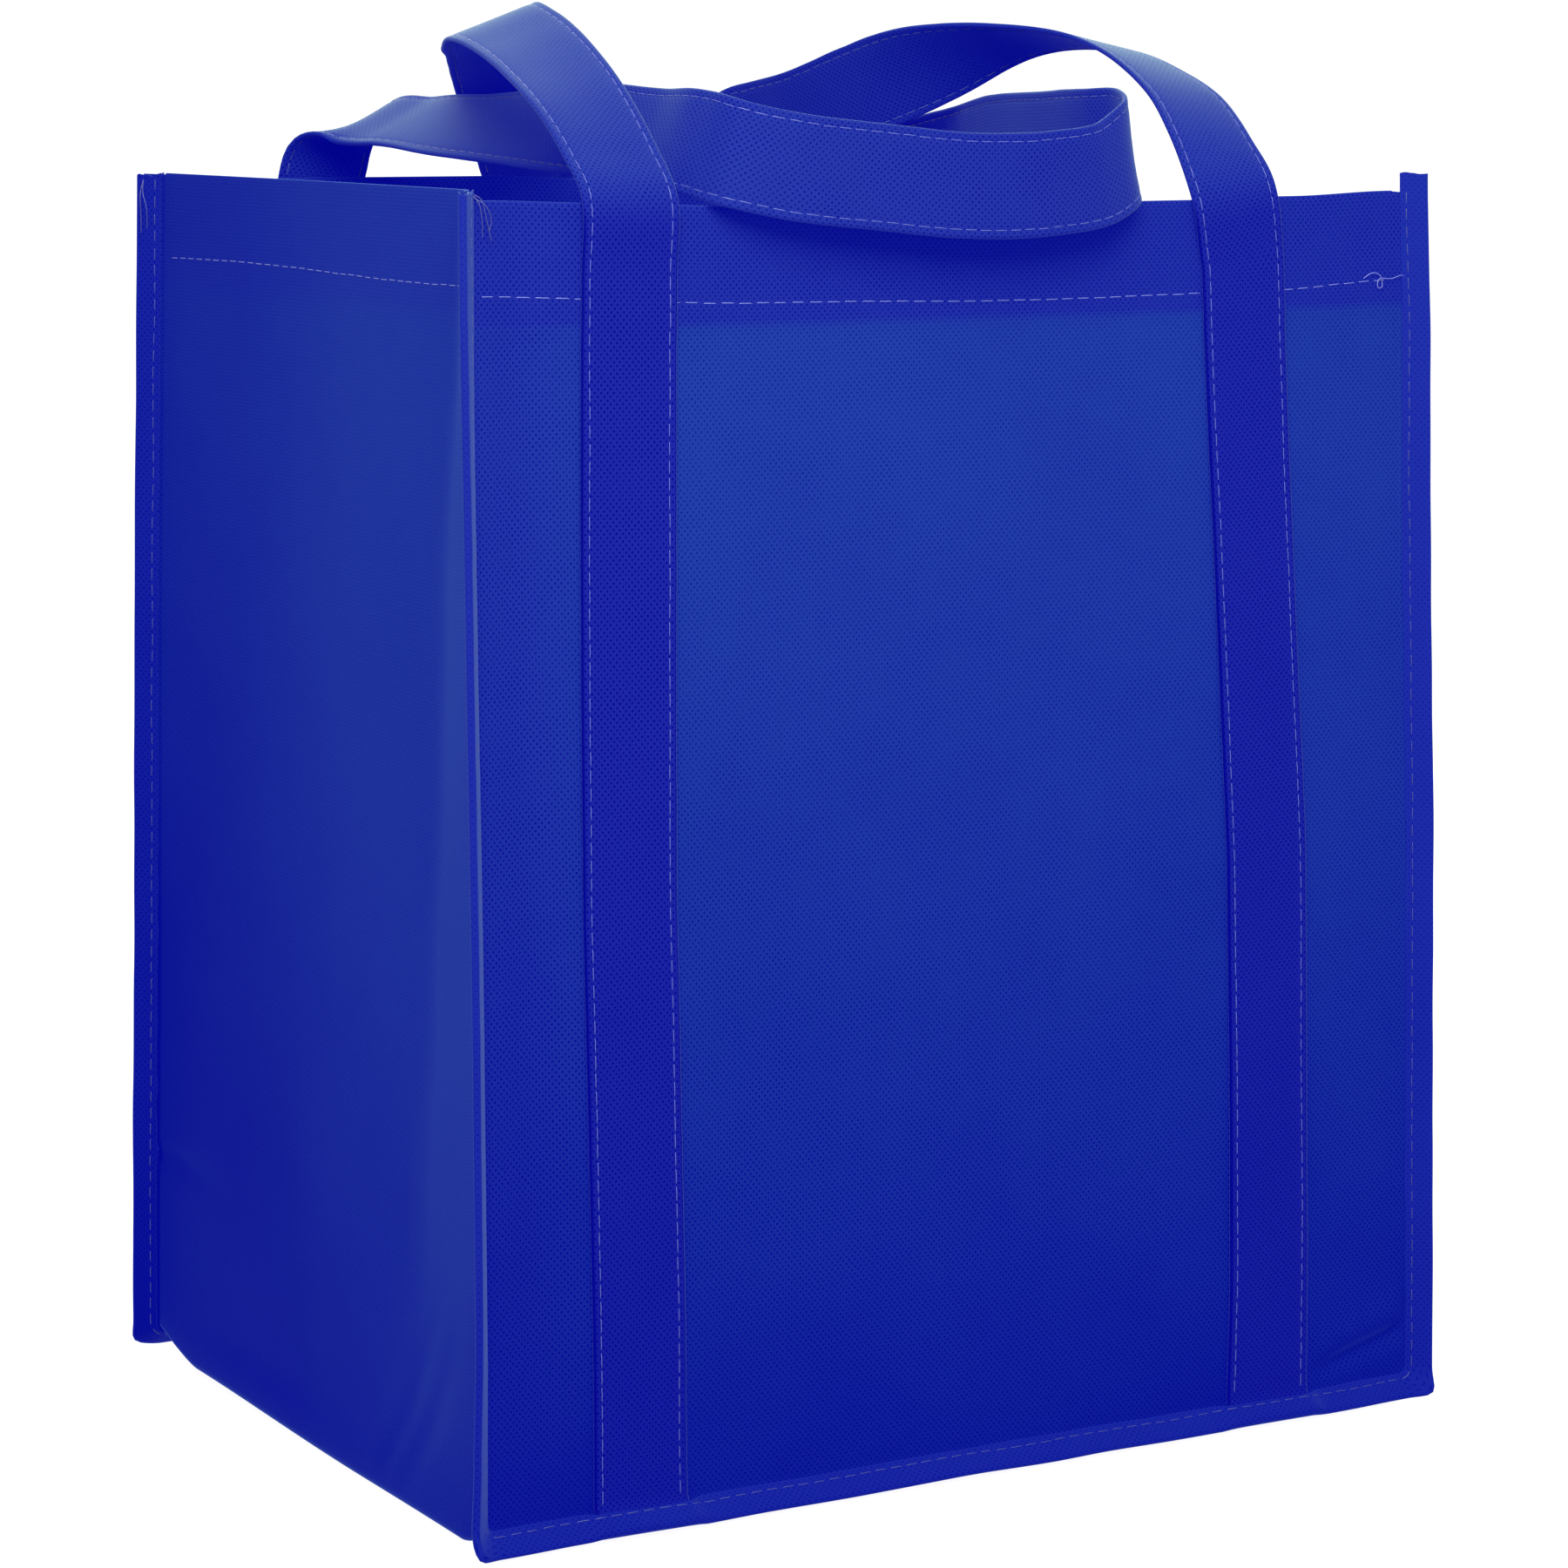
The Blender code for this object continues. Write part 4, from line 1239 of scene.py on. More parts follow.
@dataclass
class FinBinding:
    """The tape folded over one panel's fin, from rim round the base to rim."""

    room: Workroom
    face: Face
    rises: Pair
    feet: Pair
    thickness: float = 0.36 * MM
    gap: float = 0.12 * MM
    lift: float = 1.6 * MM
    strap_width: float = 26.0 * MM
    root: float = 0.5 * MM
    leg_steps: int = 5
    bight_steps: int = 8
    path_steps: tuple[int, int, int] = (132, 10, 112)
    fray: float = 0.9 * MM
    fray_length: float = 7.0 * MM
    puff: float = 0.12 * MM
    pucker: float = 0.10 * MM
    edge_wander: float = 0.35 * MM
    far_edge_wander: float = 0.3 * MM
    width_wander: float = 0.22 * MM

    @property
    def offset(self) -> float:
        """Return how far each leg of the tape lies from the middle of the fin."""
        form = self.room.form
        return form.sheet_pitch / 2 + form.cloth / 2 + self.gap + self.thickness / 2

    def stations(self) -> list[Station]:
        """Walk the path of the tape.

        Returns:
            Its stations, about 2.4 mm apart.
        """
        form = self.room.form
        tops = (form.height + self.rises[0], form.height + self.rises[1])
        return form.outline(form.seam_height, tops, self.path_steps, form.corner_radius)

    def lift_at(self, point: Pair) -> float:
        """Find the extra room under the tape where a strap's end is caught.

        Args:
            point: x and z of the station.

        Returns:
            The extra distance from the fin.
        """
        if point[1] > self.room.form.seam_height + 1e-4:
            return 0.0
        reach = self.strap_width / 2 + 0.3 * MM
        away = min(abs(point[0] - foot) for foot in self.feet)
        return self.lift * (1.0 - ease(reach, reach + 2 * self.lift, away))

    def section(self, point: Pair, travel: float) -> Section:
        """Return the middle of the folded tape at a station.

        Args:
            point: x and z of the station.
            travel: Distance along the tape, which its small unevenness follows.

        Returns:
            Points as (along the fin, across the fin), from the outer leg to the inner one.
        """
        lift = self.lift_at(point)
        seed = 10.0 * self.face.value
        ripple = unevenness(travel * 55.0, seed, 0.0)
        wave = unevenness(travel * 160.0, seed, 3.0)
        near = self.offset + lift + self.puff * max(ripple, 0.0) + self.pucker * (wave + 0.5)
        far = self.offset
        root_near = self.root + lift + self.edge_wander * ripple + self.puff * wave
        root_far = self.root - self.far_edge_wander * wave + 0.2 * MM
        radius = (near + far) / 2
        shift = (near - far) / 2
        width = self.room.form.fin + self.width_wander * unevenness(travel * 40.0, seed, 9.0)
        turn = width - radius - self.thickness / 2
        section = [(t, near) for t in steps(root_near, turn, self.leg_steps)]
        for k in range(1, self.bight_steps):
            angle = math.pi / 2 - math.pi * k / self.bight_steps
            section.append((turn + radius * math.cos(angle), shift + radius * math.sin(angle)))
        section += [(t, -far) for t in steps(turn, root_far, self.leg_steps)]
        return section

    def mitre(self, normal: Pair) -> float:
        """Find how much wider the tape is where it turns a corner, which makes it squarer.

        Args:
            normal: Outward x and z of the station.

        Returns:
            The share of its plain width.
        """
        form = self.room.form
        reach = form.corner_radius + form.fin
        square = (abs(normal[0]) ** 6 + abs(normal[1]) ** 6) ** (-1.0 / 6.0)
        return (reach * square - form.corner_radius) / form.fin

    def make(self) -> bpy.types.Object:
        """Build the tape.

        Returns:
            The finished piece.
        """
        word = self.face.name.lower()
        form = self.room.form
        path = self.stations()
        travel = distances([point for point, _ in path])
        sections = [self.section(point, run) for (point, _), run in zip(path, travel)]
        frames = [form.seam_frame(self.face, point, normal) for point, normal in path]
        mitres = [self.mitre(normal) for _, normal in path]

        def place(i: int, j: int) -> Vector:
            """Find a point of the tape on the square bag, frayed towards the tape's ends.

            Args:
                i: Its place in the section.
                j: Its station.

            Returns:
                The point.
            """
            seam, fin, across = frames[j]
            t, o = sections[j][i]
            point = seam + fin * t * mitres[j] + across * o
            to_end = min(travel[j], travel[-1] - travel[j])
            frayed = self.fray * unevenness(t * 500.0, o * 400.0, travel[j] * 9.0)
            point.z += (frayed - 0.14 * t) * ease(self.fray_length, 0.0, to_end)
            return point

        def flat(i: int, j: int) -> Pair:
            """Return the place of section point i at station j on the flat tape."""
            return distances(sections[j][: i + 1])[-1], travel[j]

        size = (len(sections[0]), len(path))
        piece = self.room.lay_cloth(f"{word}_binding_tape", size, place, flat)
        if self.face is Face.BACK:
            with editing(piece):
                bpy.ops.mesh.flip_normals()
        self.room.thicken(piece, self.thickness)
        self.room.hand_over(piece, self.room.tape, "tape", [f"{word}_binding"], 60.0)
        return piece


@dataclass
class Route:
    """The path of one handle strap, with the way across it at each point."""

    form: ToteForm
    face: Face
    legs: tuple[Triple, Triple]
    loop: tuple[tuple[float, float, float, float, float, float], ...]
    thickness: float = 1.3 * MM
    gap: float = 0.3 * MM
    end_in_fin: float = 4.6 * MM
    leg_top: float = 18.0 * MM
    fine_step: float = 0.5 * MM
    straight_spans: Pair = (4.0 * MM, 60.0 * MM)

    def leg(self, xs: Triple, across: float) -> list[tuple[Vector, Vector]]:
        """Lay a leg from its end in the fin to just below the rim.

        Args:
            xs: x at the foot, half way up and at the top, in millimetres.
            across: Sign of x that the way across the strap points to.

        Returns:
            Stations of point and way across.
        """
        form = self.form
        outward, upward = form.axes(self.face)
        foot, middle, top = (x * MM for x in xs)
        seam, fin, over = form.seam_frame(self.face, (foot, form.seam_height), (0.0, -1.0))
        rest = form.cloth / 2 + self.gap + self.thickness / 2
        surface = form.sheet_pitch / 2 + rest
        bend = surface * math.tan(math.pi / 8)
        in_fin = seam + over * surface
        on_panel = seam + outward * (form.sheet_pitch / 2 * ROOT_HALF + rest)
        points = [in_fin + fin * self.end_in_fin, in_fin + fin * bend * 1.6]
        rises = [bend * 2.4, bend * 3.6, bend * 6.0, form.height * 0.45]
        rises.append(form.height - self.leg_top - form.seam_height)
        for rise, x in zip(rises, (foot, foot, foot, middle, top)):
            point = on_panel + upward * rise
            point.x = x
            points.append(point)
        return [(point, Vector((across, 0.0, 0.0))) for point in points]

    def stations(self) -> list[tuple[Vector, Vector]]:
        """Join the chosen stations of both legs and the loop.

        Returns:
            Point and way across of each, from foot to foot.
        """
        sign = -float(self.face.value)
        result = self.leg(self.legs[0], sign)
        for x, y, rise, ax, ay, az in self.loop:
            point = Vector((x * MM, y * MM, self.form.height + rise * MM))
            result.append((point, Vector((ax, ay, az)).normalized()))
        return result + list(reversed(self.leg(self.legs[1], -sign)))

    def smooth(self, step: float) -> list[tuple[Vector, Vector, Vector]]:
        """Run a smooth curve through the stations.

        Args:
            step: Distance between the points returned.

        Returns:
            Point, way across and way out of the outer face, at even steps.
        """
        stops = self.stations()
        knots = distances([point for point, _ in stops])

        def slope(values: list[Vector], i: int) -> Vector:
            """Find how fast a value changes at a station.

            Args:
                values: The value at each station.
                i: The station.

            Returns:
                The change per metre.
            """
            low, high = max(i - 1, 0), min(i + 1, len(values) - 1)
            if low == i or high == i:
                return (values[high] - values[low]) / (knots[high] - knots[low])
            before = (values[i] - values[low]) / (knots[i] - knots[low])
            after = (values[high] - values[i]) / (knots[high] - knots[i])
            weight = (knots[i] - knots[low]) / (knots[high] - knots[low])
            return before * (1 - weight) + after * weight

        def blend(values: list[Vector], i: int, share: float) -> Vector:
            """Read a value between two stations.

            Args:
                values: The value at each station.
                i: The station before.
                share: Share of the way to the next one.

            Returns:
                The value there, on a smooth curve, or on a straight line in very short and
                very long spans.
            """
            span = knots[i + 1] - knots[i]
            if not self.straight_spans[0] <= span <= self.straight_spans[1]:
                return values[i].lerp(values[i + 1], share)
            s2, s3 = share * share, share * share * share
            return (
                values[i] * (2 * s3 - 3 * s2 + 1)
                + slope(values, i) * span * (s3 - 2 * s2 + share)
                + values[i + 1] * (3 * s2 - 2 * s3)
                + slope(values, i + 1) * span * (s3 - s2)
            )

        places = [stop[0] for stop in stops]
        ways = [stop[1] for stop in stops]
        fine: list[tuple[Vector, Vector]] = []
        for i in range(len(stops) - 1):
            count = max(1, round((knots[i + 1] - knots[i]) / self.fine_step))
            for k in range(count):
                fine.append((blend(places, i, k / count), blend(ways, i, k / count)))
        fine.append(stops[-1])
        path: list[tuple[Vector, Vector, Vector]] = []
        travelled, due = 0.0, 0.0
        for k, (point, way) in enumerate(fine):
            if k:
                travelled += (point - fine[k - 1][0]).length
            if travelled >= due - 1e-9 or k == len(fine) - 1:
                before = fine[max(k - 3, 0)][0]
                after = fine[min(k + 3, len(fine) - 1)][0]
                along = (after - before).normalized()
                wide = (way - along * way.dot(along)).normalized()
                path.append((point, wide, wide.cross(along)))
                due += step
        return path


@dataclass
class HandleStrap:
    """One long strap: folded cloth, stitched along both edges."""

    room: Workroom
    route: Route
    name: str
    half_width: float = 13.0 * MM
    # Edges of the legs that take a painted shadow.
    edge_shadow_from: float = 12.6 * MM
    edge_shadow_below: float = 0.58 * MM
    step: float = 2.2 * MM
    scallop: float = 0.16 * MM
    buckle: float = 0.10
    free_reach: Pair = (-8.0 * MM, 6.0 * MM)
    half_section: Knots = (
        (13.0, 0.0), (12.93, 0.34), (12.68, 0.56), (12.2, 0.65), (11.5, 0.62), (10.9, 0.50),
        (10.3, 0.62), (9.3, 0.67), (6.5, 0.66), (3.2, 0.64), (0.0, 0.63),
    )

    def section(self) -> Section:
        """Mirror the half section into the whole one.

        Returns:
            The closed section, starting and ending at the same edge.
        """
        right = list(self.half_section)
        left = [(-a, o) for a, o in reversed(right[:-1])]
        outer = right + left
        inner = [(a, -o) for a, o in reversed(outer[1:-1])]
        return [(a * MM, o * MM) for a, o in outer + inner + [outer[0]]]

    def make(self) -> bpy.types.Object:
        """Build the strap.

        Returns:
            The finished piece.
        """
        path = self.route.smooth(self.step)
        section = self.section()
        runs = distances(section)
        travel = distances([point for point, _, _ in path])
        seed = 31.0 * self.route.face.value

        def place(i: int, j: int) -> Vector:
            """Find a point of the strap on the square bag.

            Args:
                i: Its place in the section.
                j: Its place along the path.

            Returns:
                The point.
            """
            point, wide, proud = path[j]
            a, o = section[i]
            edge = abs(a) / self.half_width
            scallop = unevenness(travel[j] * 70.0, seed + math.copysign(4.0, a), 0.0)
            buckle = unevenness(travel[j] * 24.0, seed, a * 60.0)
            a += math.copysign(self.scallop * scallop * edge**4, a)
            o *= 1.0 + self.buckle * buckle
            return point + wide * a + proud * o

        def flat(i: int, j: int) -> Pair:
            """Return the place of section point i at path point j on the flat cloth."""
            return runs[i], travel[j]

        def layers(i: int, j: int) -> float:
            """Find how much painted shade the strap takes where the wall backs it, and along its
            edges.

            Args:
                i: Place in the section.
                j: Place along the path.

            Returns:
                0 on the loop, 1 on the legs, and 2 where a painted shadow lies along a leg's edge.
            """
            above = path[j][0].z - self.room.form.height
            a, o = section[i]
            # Painted shadow along the edges of a leg.
            painted_edge_shadow = 2.0 if abs(a) > self.edge_shadow_from and o < self.edge_shadow_below else 1.0
            return painted_edge_shadow * (1.0 - ease(*self.free_reach, above))

        piece = self.room.lay_cloth(self.name, (len(section), len(path)), place, flat, layers)
        with editing(piece):
            bpy.ops.mesh.remove_doubles(threshold=1e-6)
            bpy.ops.mesh.select_all(action="DESELECT")
            bpy.ops.mesh.select_mode(type="EDGE")
            bpy.ops.mesh.select_non_manifold()
            bpy.ops.mesh.edge_face_add()
            bpy.ops.mesh.select_all(action="SELECT")
            bpy.ops.mesh.normals_make_consistent(inside=False)
        word = self.route.face.name.lower()
        self.room.hand_over(piece, self.room.strap, "strap", [f"{word}_handle"], 70.0)
        return piece


@dataclass(frozen=True)
class Thread:
    """One sewing thread and the stitch it makes."""

    finish: PlainFinish
    radius: float
    pitch: float
    opening: float
    proud: float


@dataclass
class Stitching:
    """Rows of lockstitch: short threads that dip into the cloth at both ends."""

    room: Workroom
    sides: int = 6
    rings: int = 6
    drift: float = 0.12 * MM
    look_ahead: float = 0.2 * MM
    strap_step: float = 1.6 * MM
    strap_wander: float = 0.25 * MM
    tape_wander: float = 0.3 * MM
    strap_row: float = 10.9 * MM
    tape_row: float = 1.9 * MM
    flank_hem_z: float = 309.6
    hem_line: Knots = (
        (-141.0, 307.2), (-60.0, 304.2), (20.0, 303.2), (90.0, 303.8), (141.0, 306.2),
    )

    def row(
        self, path: Sequence[tuple[Vector, Vector]], thread: Thread, seed: float
    ) -> tuple[list[Vector], list[tuple[int, ...]]]:
        """Sew one row along a path.

        Args:
            path: Points on the surface of the cloth with their outward normals.
            thread: The thread and its stitch.
            seed: Number that this row's unevenness follows.

        Returns:
            The points and faces of all the row's stitches.
        """
        travel = distances([point for point, _ in path])
        points: list[Vector] = []
        faces: list[tuple[int, ...]] = []
        cursor = 0

        def at(distance: float) -> tuple[Vector, Vector]:
            """Read the surface of the cloth.

            Args:
                distance: Distance along the path.

            Returns:
                The point and the normal there.
            """
            nonlocal cursor
            while cursor < len(travel) - 2 and travel[cursor + 1] < distance:
                cursor += 1
            while cursor > 0 and travel[cursor] > distance:
                cursor -= 1
            span = travel[cursor + 1] - travel[cursor]
            share = clamp((distance - travel[cursor]) / span) if span else 0.0
            (a, na), (b, nb) = path[cursor], path[cursor + 1]
            return a.lerp(b, share), na.lerp(nb, share).normalized()

        start = thread.pitch * 0.3
        index = 0
        while start + thread.pitch < travel[-1]:
            jitter = unevenness(index * 3.7, seed, 0.5)
            length = thread.pitch - thread.opening * (1.0 + 0.4 * jitter)
            drift = self.drift * unevenness(index * 1.3, seed, 7.5)
            self.stitch(at, thread, (start, length, drift), points, faces)
            start += thread.pitch * (1.0 + 0.03 * jitter)
            index += 1
        return points, faces

    def stitch(
        self,
        at: Callable[[float], tuple[Vector, Vector]],
        thread: Thread,
        lie: Triple,
        points: list[Vector],
        faces: list[tuple[int, ...]],
    ) -> None:
        """Add one stitch.

        Args:
            at: Reads the cloth's surface at a distance along the row.
            thread: The thread and its stitch.
            lie: Where the stitch comes out, how far it runs and how far beside the row it lies.
            points: Points of the row, added to.
            faces: Faces of the row, added to.
        """
        first = len(points)
        start, length, drift = lie
        for ring in range(self.rings):
            share = ring / (self.rings - 1)
            surface, normal = at(start + length * share)
            ahead, _ = at(start + length * share + self.look_ahead)
            along = (ahead - surface).normalized()
            beside = normal.cross(along).normalized()
            end = 1.0 - min(share, 1.0 - share) * 2.0
            rise = thread.radius * (thread.proud - (thread.proud + 1.0) * end**4)
            radius = thread.radius * (1.0 - 0.35 * end**3)
            centre = surface + normal * rise + beside * drift
            for k in range(self.sides):
                angle = math.tau * k / self.sides
                spoke = normal * math.sin(angle) * 0.85 + beside * math.cos(angle)
                points.append(centre + spoke * radius)
        self.close_tube(first, self.rings, faces)

    def close_tube(self, first: int, rings: int, faces: list[tuple[int, ...]]) -> None:
        """Skin rings of points into a tube, closed at both ends.

        Args:
            first: Number of the first point of the first ring.
            rings: How many rings there are.
            faces: Faces of the piece, added to.
        """
        for ring in range(rings - 1):
            for k in range(self.sides):
                a = first + ring * self.sides + k
                b = first + ring * self.sides + (k + 1) % self.sides
                faces.append((a, b, b + self.sides, a + self.sides))
        last = first + (rings - 1) * self.sides
        faces.append(tuple(first + k for k in reversed(range(self.sides))))
        faces.append(tuple(last + k for k in range(self.sides)))

    def tail(
        self,
        stops: Sequence[Triple],
        radius: float,
        points: list[Vector],
        faces: list[tuple[int, ...]],
    ) -> None:
        """Add a loose end of thread, as it was left by the machine.

        Args:
            stops: Listed points along it, in millimetres.
            radius: Radius of the thread.
            points: Points of the piece, added to.
            faces: Faces of the piece, added to.
        """
        way = [Vector(stop) * MM for stop in stops]
        way = [way[0] * 2 - way[1], *way, way[-1] * 2 - way[-2]]
        line: list[Vector] = []
        for k in range(1, len(way) - 2):
            a, b, c, d = way[k - 1 : k + 3]
            for share in (0.0, 0.2, 0.4, 0.6, 0.8):
                s2, s3 = share * share, share * share * share
                line.append(
                    (b * 2 + (c - a) * share + (a * 2 - b * 5 + c * 4 - d) * s2) * 0.5
                    + (b * 3 - a - c * 3 + d) * (0.5 * s3)
                )
        line.append(way[-2])
        first = len(points)
        for k, centre in enumerate(line):
            along = (line[min(k + 1, len(line) - 1)] - line[max(k - 1, 0)]).normalized()
            beside = along.orthogonal().normalized() if k == 0 else beside
            beside = (beside - along * beside.dot(along)).normalized()
            over = along.cross(beside)
            for n in range(self.sides):
                angle = math.tau * n / self.sides
                spoke = beside * math.cos(angle) + over * math.sin(angle)
                points.append(centre + spoke * radius)
        self.close_tube(first, len(line), faces)

    def sew(
        self,
        name: str,
        thread: Thread,
        rows: Sequence[Sequence[tuple[Vector, Vector]]],
        seed: float,
        tails: Sequence[Sequence[Triple]] = (),
    ) -> None:
        """Make one piece of several rows of stitches.

        Args:
            name: Name of the piece.
            thread: The thread and its stitch.
            rows: The paths of the rows.
            seed: Number that the unevenness follows.
            tails: Loose ends of the same thread.
        """
        points: list[Vector] = []
        faces: list[tuple[int, ...]] = []
        for number, path in enumerate(rows):
            row_points, row_faces = self.row(path, thread, seed + number * 2.9)
            first = len(points)
            points += row_points
            faces += [tuple(first + k for k in face) for face in row_faces]
        for stops in tails:
            self.tail(stops, thread.radius, points, faces)
        mesh = bpy.data.meshes.new(name)
        mesh.from_pydata([tuple(point) for point in points], [], faces)
        mesh.update()
        piece = bpy.data.objects.new(name, mesh)
        bpy.context.collection.objects.link(piece)
        with editing(piece):
            bpy.ops.mesh.normals_make_consistent(inside=False)
        self.room.hand_over(piece, thread.finish, "strap", angle=80.0)

    def settled(self, path: Sequence[tuple[Vector, Vector]]) -> list[tuple[Vector, Vector]]:
        """Move a path drawn on the square bag to the settled cloth."""
        return [(self.room.form.settle(point), normal) for point, normal in path]

    def panel_hem_row(self, face: Face, layer: float) -> list[tuple[Vector, Vector]]:
        """Draw the path of a panel's hem row.

        Args:
            face: The panel.
            layer: 1 for the row seen outside and -1 for the one seen inside.

        Returns:
            Points on the cloth with their outward normals.
        """
        form = self.room.form
        outward, _ = form.axes(face)
        inset = 1.0 * MM if layer > 0 else form.hem_end_inset + 1.0 * MM
        path = []
        for x in steps(-1.0, 1.0, 90):
            z = between(self.hem_line, x * 138.0) * MM
            point = Vector((x * (form.side_x(z) - inset), face.value * form.panel_y(z), z))
            point += outward * form.sheet_pitch / 2 * ROOT_HALF
            path.append((point + outward * self.hem_reach(layer), outward * layer))
        return self.settled(path)

    def flank_hem_row(self, side: Side, layer: float) -> list[tuple[Vector, Vector]]:
        """Draw the path of a flank's hem row.

        Args:
            side: The flank.
            layer: 1 for the row seen outside and -1 for the one seen inside.

        Returns:
            Points on the cloth with their outward normals.
        """
        form = self.room.form
        out = Vector((side.value * layer, 0.0, 0.0))
        path = []
        for share in steps(-0.985, 0.985, 60):
            z = (self.flank_hem_z + 0.5 * math.sin(share * 3.0)) * MM
            x = form.side_x(z) + form.sheet_pitch / 2 * ROOT_HALF + self.hem_reach(layer)
            y = share * form.panel_y(z) * (1.0 if layer > 0 else 0.965)
            path.append((Vector((side.value * x, y, z)), out))
        return self.settled(path)

    def hem_reach(self, layer: float) -> float:
        """Return how far outside the wall's middle a hem's outer or inner face lies."""
        form = self.room.form
        return form.cloth / 2 if layer > 0 else -form.cloth / 2 - form.sheet_pitch

    def hem_rows(self) -> None:
        """Sew the hems of both panels and both flanks, seen outside and inside."""
        layers = (1.0, -1.0)
        rows = [self.panel_hem_row(face, layer) for face in Face for layer in layers]
        rows += [self.flank_hem_row(side, layer) for side in Side for layer in layers]
        thread = Thread(
            self.room.hem_thread, radius=0.125 * MM, pitch=5.0 * MM, opening=0.9 * MM, proud=0.5
        )
        self.sew("hem_thread", thread, rows, 3.0, HEM_TAILS)

    def strap_rows(self, strap: HandleStrap) -> None:
        """Sew the two rows along a strap, seen on both of its faces.

        Args:
            strap: The strap.
        """
        path = strap.route.smooth(self.strap_step)
        rows: list[list[tuple[Vector, Vector]]] = []
        for edge in (-1.0, 1.0):
            for layer in (1.0, -1.0):
                row = []
                for k, (point, wide, proud) in enumerate(path):
                    wander = self.strap_wander * unevenness(k * 0.045, edge * 9.0, layer)
                    place = point + wide * (edge * self.strap_row + wander)
                    row.append((place + proud * layer * 0.5 * MM, proud * layer))
                rows.append(self.settled(row[2:-2]))
        word = strap.route.face.name.lower()
        thread = Thread(
            self.room.strap_thread, radius=0.115 * MM, pitch=4.4 * MM, opening=0.35 * MM, proud=0.4
        )
        self.sew(f"{word}_handle_thread", thread, rows, 11.0 + strap.route.face.value)

    def tape_rows(self, tape: FinBinding) -> None:
        """Sew the row that closes a binding tape, seen on both of its legs.

        Args:
            tape: The tape.
        """
        form = self.room.form
        rows: list[list[tuple[Vector, Vector]]] = []
        stations = tape.stations()
        travel = distances([point for point, _ in stations])
        for layer in (1.0, -1.0):
            row = []
            for (point, normal), run in zip(stations, travel):
                seam, fin, across = form.seam_frame(tape.face, point, normal)
                t = tape.root + self.tape_row
                t += self.tape_wander * unevenness(run * 45.0, layer, tape.face.value)
                reach = tape.offset
                if layer > 0:
                    reach = tape.section(point, run)[1][1]
                    t += tape.lift_at(point) * 0.4
                reach += tape.thickness / 2
                row.append((seam + fin * t + across * reach * layer, across * layer))
            rows.append(self.settled(row))
        word = tape.face.name.lower()
        thread = Thread(
            self.room.tape_thread, radius=0.12 * MM, pitch=4.6 * MM, opening=0.9 * MM, proud=0.1
        )
        tails = FRONT_TAILS if tape.face is Face.FRONT else BACK_TAILS
        self.sew(f"{word}_binding_thread", thread, rows, 23.0 + tape.face.value, tails)


@dataclass
class BaseBoard:
    """The loose stiff board that lies on the base."""

    room: Workroom
    half: Pair = (132.9 * MM, 87.4 * MM)
    low: float = 0.9 * MM
    thickness: float = 2.0 * MM
    corner: float = 5.0 * MM
    eased: float = 0.35 * MM

    def make(self) -> bpy.types.Object:
        """Build the board from a block with rounded corners and eased edges.

        Returns:
            The finished piece.
        """
        deselect_all()
        middle = self.low + self.thickness / 2
        bpy.ops.mesh.primitive_cube_add(size=1.0, location=(0.0, 0.0, middle))
        piece = bpy.context.object
        piece.name = "base_board_slab"
        piece.scale = (self.half[0] * 2, self.half[1] * 2, self.thickness)
        bpy.ops.object.transform_apply(location=True, rotation=True, scale=True)
        bpy.ops.object.mode_set(mode="EDIT")
        bpy.ops.mesh.select_mode(type="EDGE")
        bpy.ops.mesh.select_all(action="DESELECT")
        bpy.ops.object.mode_set(mode="OBJECT")
        for edge in piece.data.edges:
            a, b = (piece.data.vertices[k].co for k in edge.vertices)
            edge.select = abs(a.x - b.x) < 1e-6 and abs(a.y - b.y) < 1e-6
        bpy.ops.object.mode_set(mode="EDIT")
        bpy.ops.mesh.bevel(offset=self.corner, segments=6, affect="EDGES")
        bpy.ops.object.mode_set(mode="OBJECT")
        soften = piece.modifiers.new("Eased edges", "BEVEL")
        soften.width = self.eased
        soften.segments = 2
        soften.limit_method = "ANGLE"
        bpy.ops.object.modifier_apply(modifier=soften.name)
        for vertex in piece.data.vertices:
            vertex.co.z += self.room.form.corner_lift(vertex.co.x, vertex.co.y)
        self.room.hand_over(piece, self.room.board, "board", ["bottom_board"], 30.0)
        return piece


@dataclass(frozen=True)
class PhotoCamera:
    """The camera, at the angle of the photograph."""

    azimuth: float = math.radians(-30.381)
    pitch: float = math.radians(8.833)
    roll: float = math.radians(0.235)
    place: Triple = (-630.995 * MM, -1080.668 * MM, 361.946 * MM)
    lens: float = 106.276
    film: float = 36.0

    def set_up(self) -> bpy.types.Object:
        """Make the camera and look through it.

        Returns:
            The camera object.
        """
        level = Vector((math.cos(self.azimuth), math.sin(self.azimuth), 0.0))
        ahead = Vector((-level.y, level.x, 0.0)) * math.cos(self.pitch)
        ahead.z = -math.sin(self.pitch)
        upright = level.cross(ahead)
        right = level * math.cos(self.roll) + upright * math.sin(self.roll)
        up = upright * math.cos(self.roll) - level * math.sin(self.roll)
        data = bpy.data.cameras.new("Photo camera")
        data.lens = self.lens
        data.sensor_width = self.film
        data.sensor_fit = "HORIZONTAL"
        data.clip_end = 60.0
        camera = bpy.data.objects.new("Photo camera", data)
        bpy.context.collection.objects.link(camera)
        turn = Matrix((right, up, -ahead)).transposed()
        camera.matrix_world = Matrix.Translation(self.place) @ turn.to_4x4()
        bpy.context.scene.camera = camera
        return camera


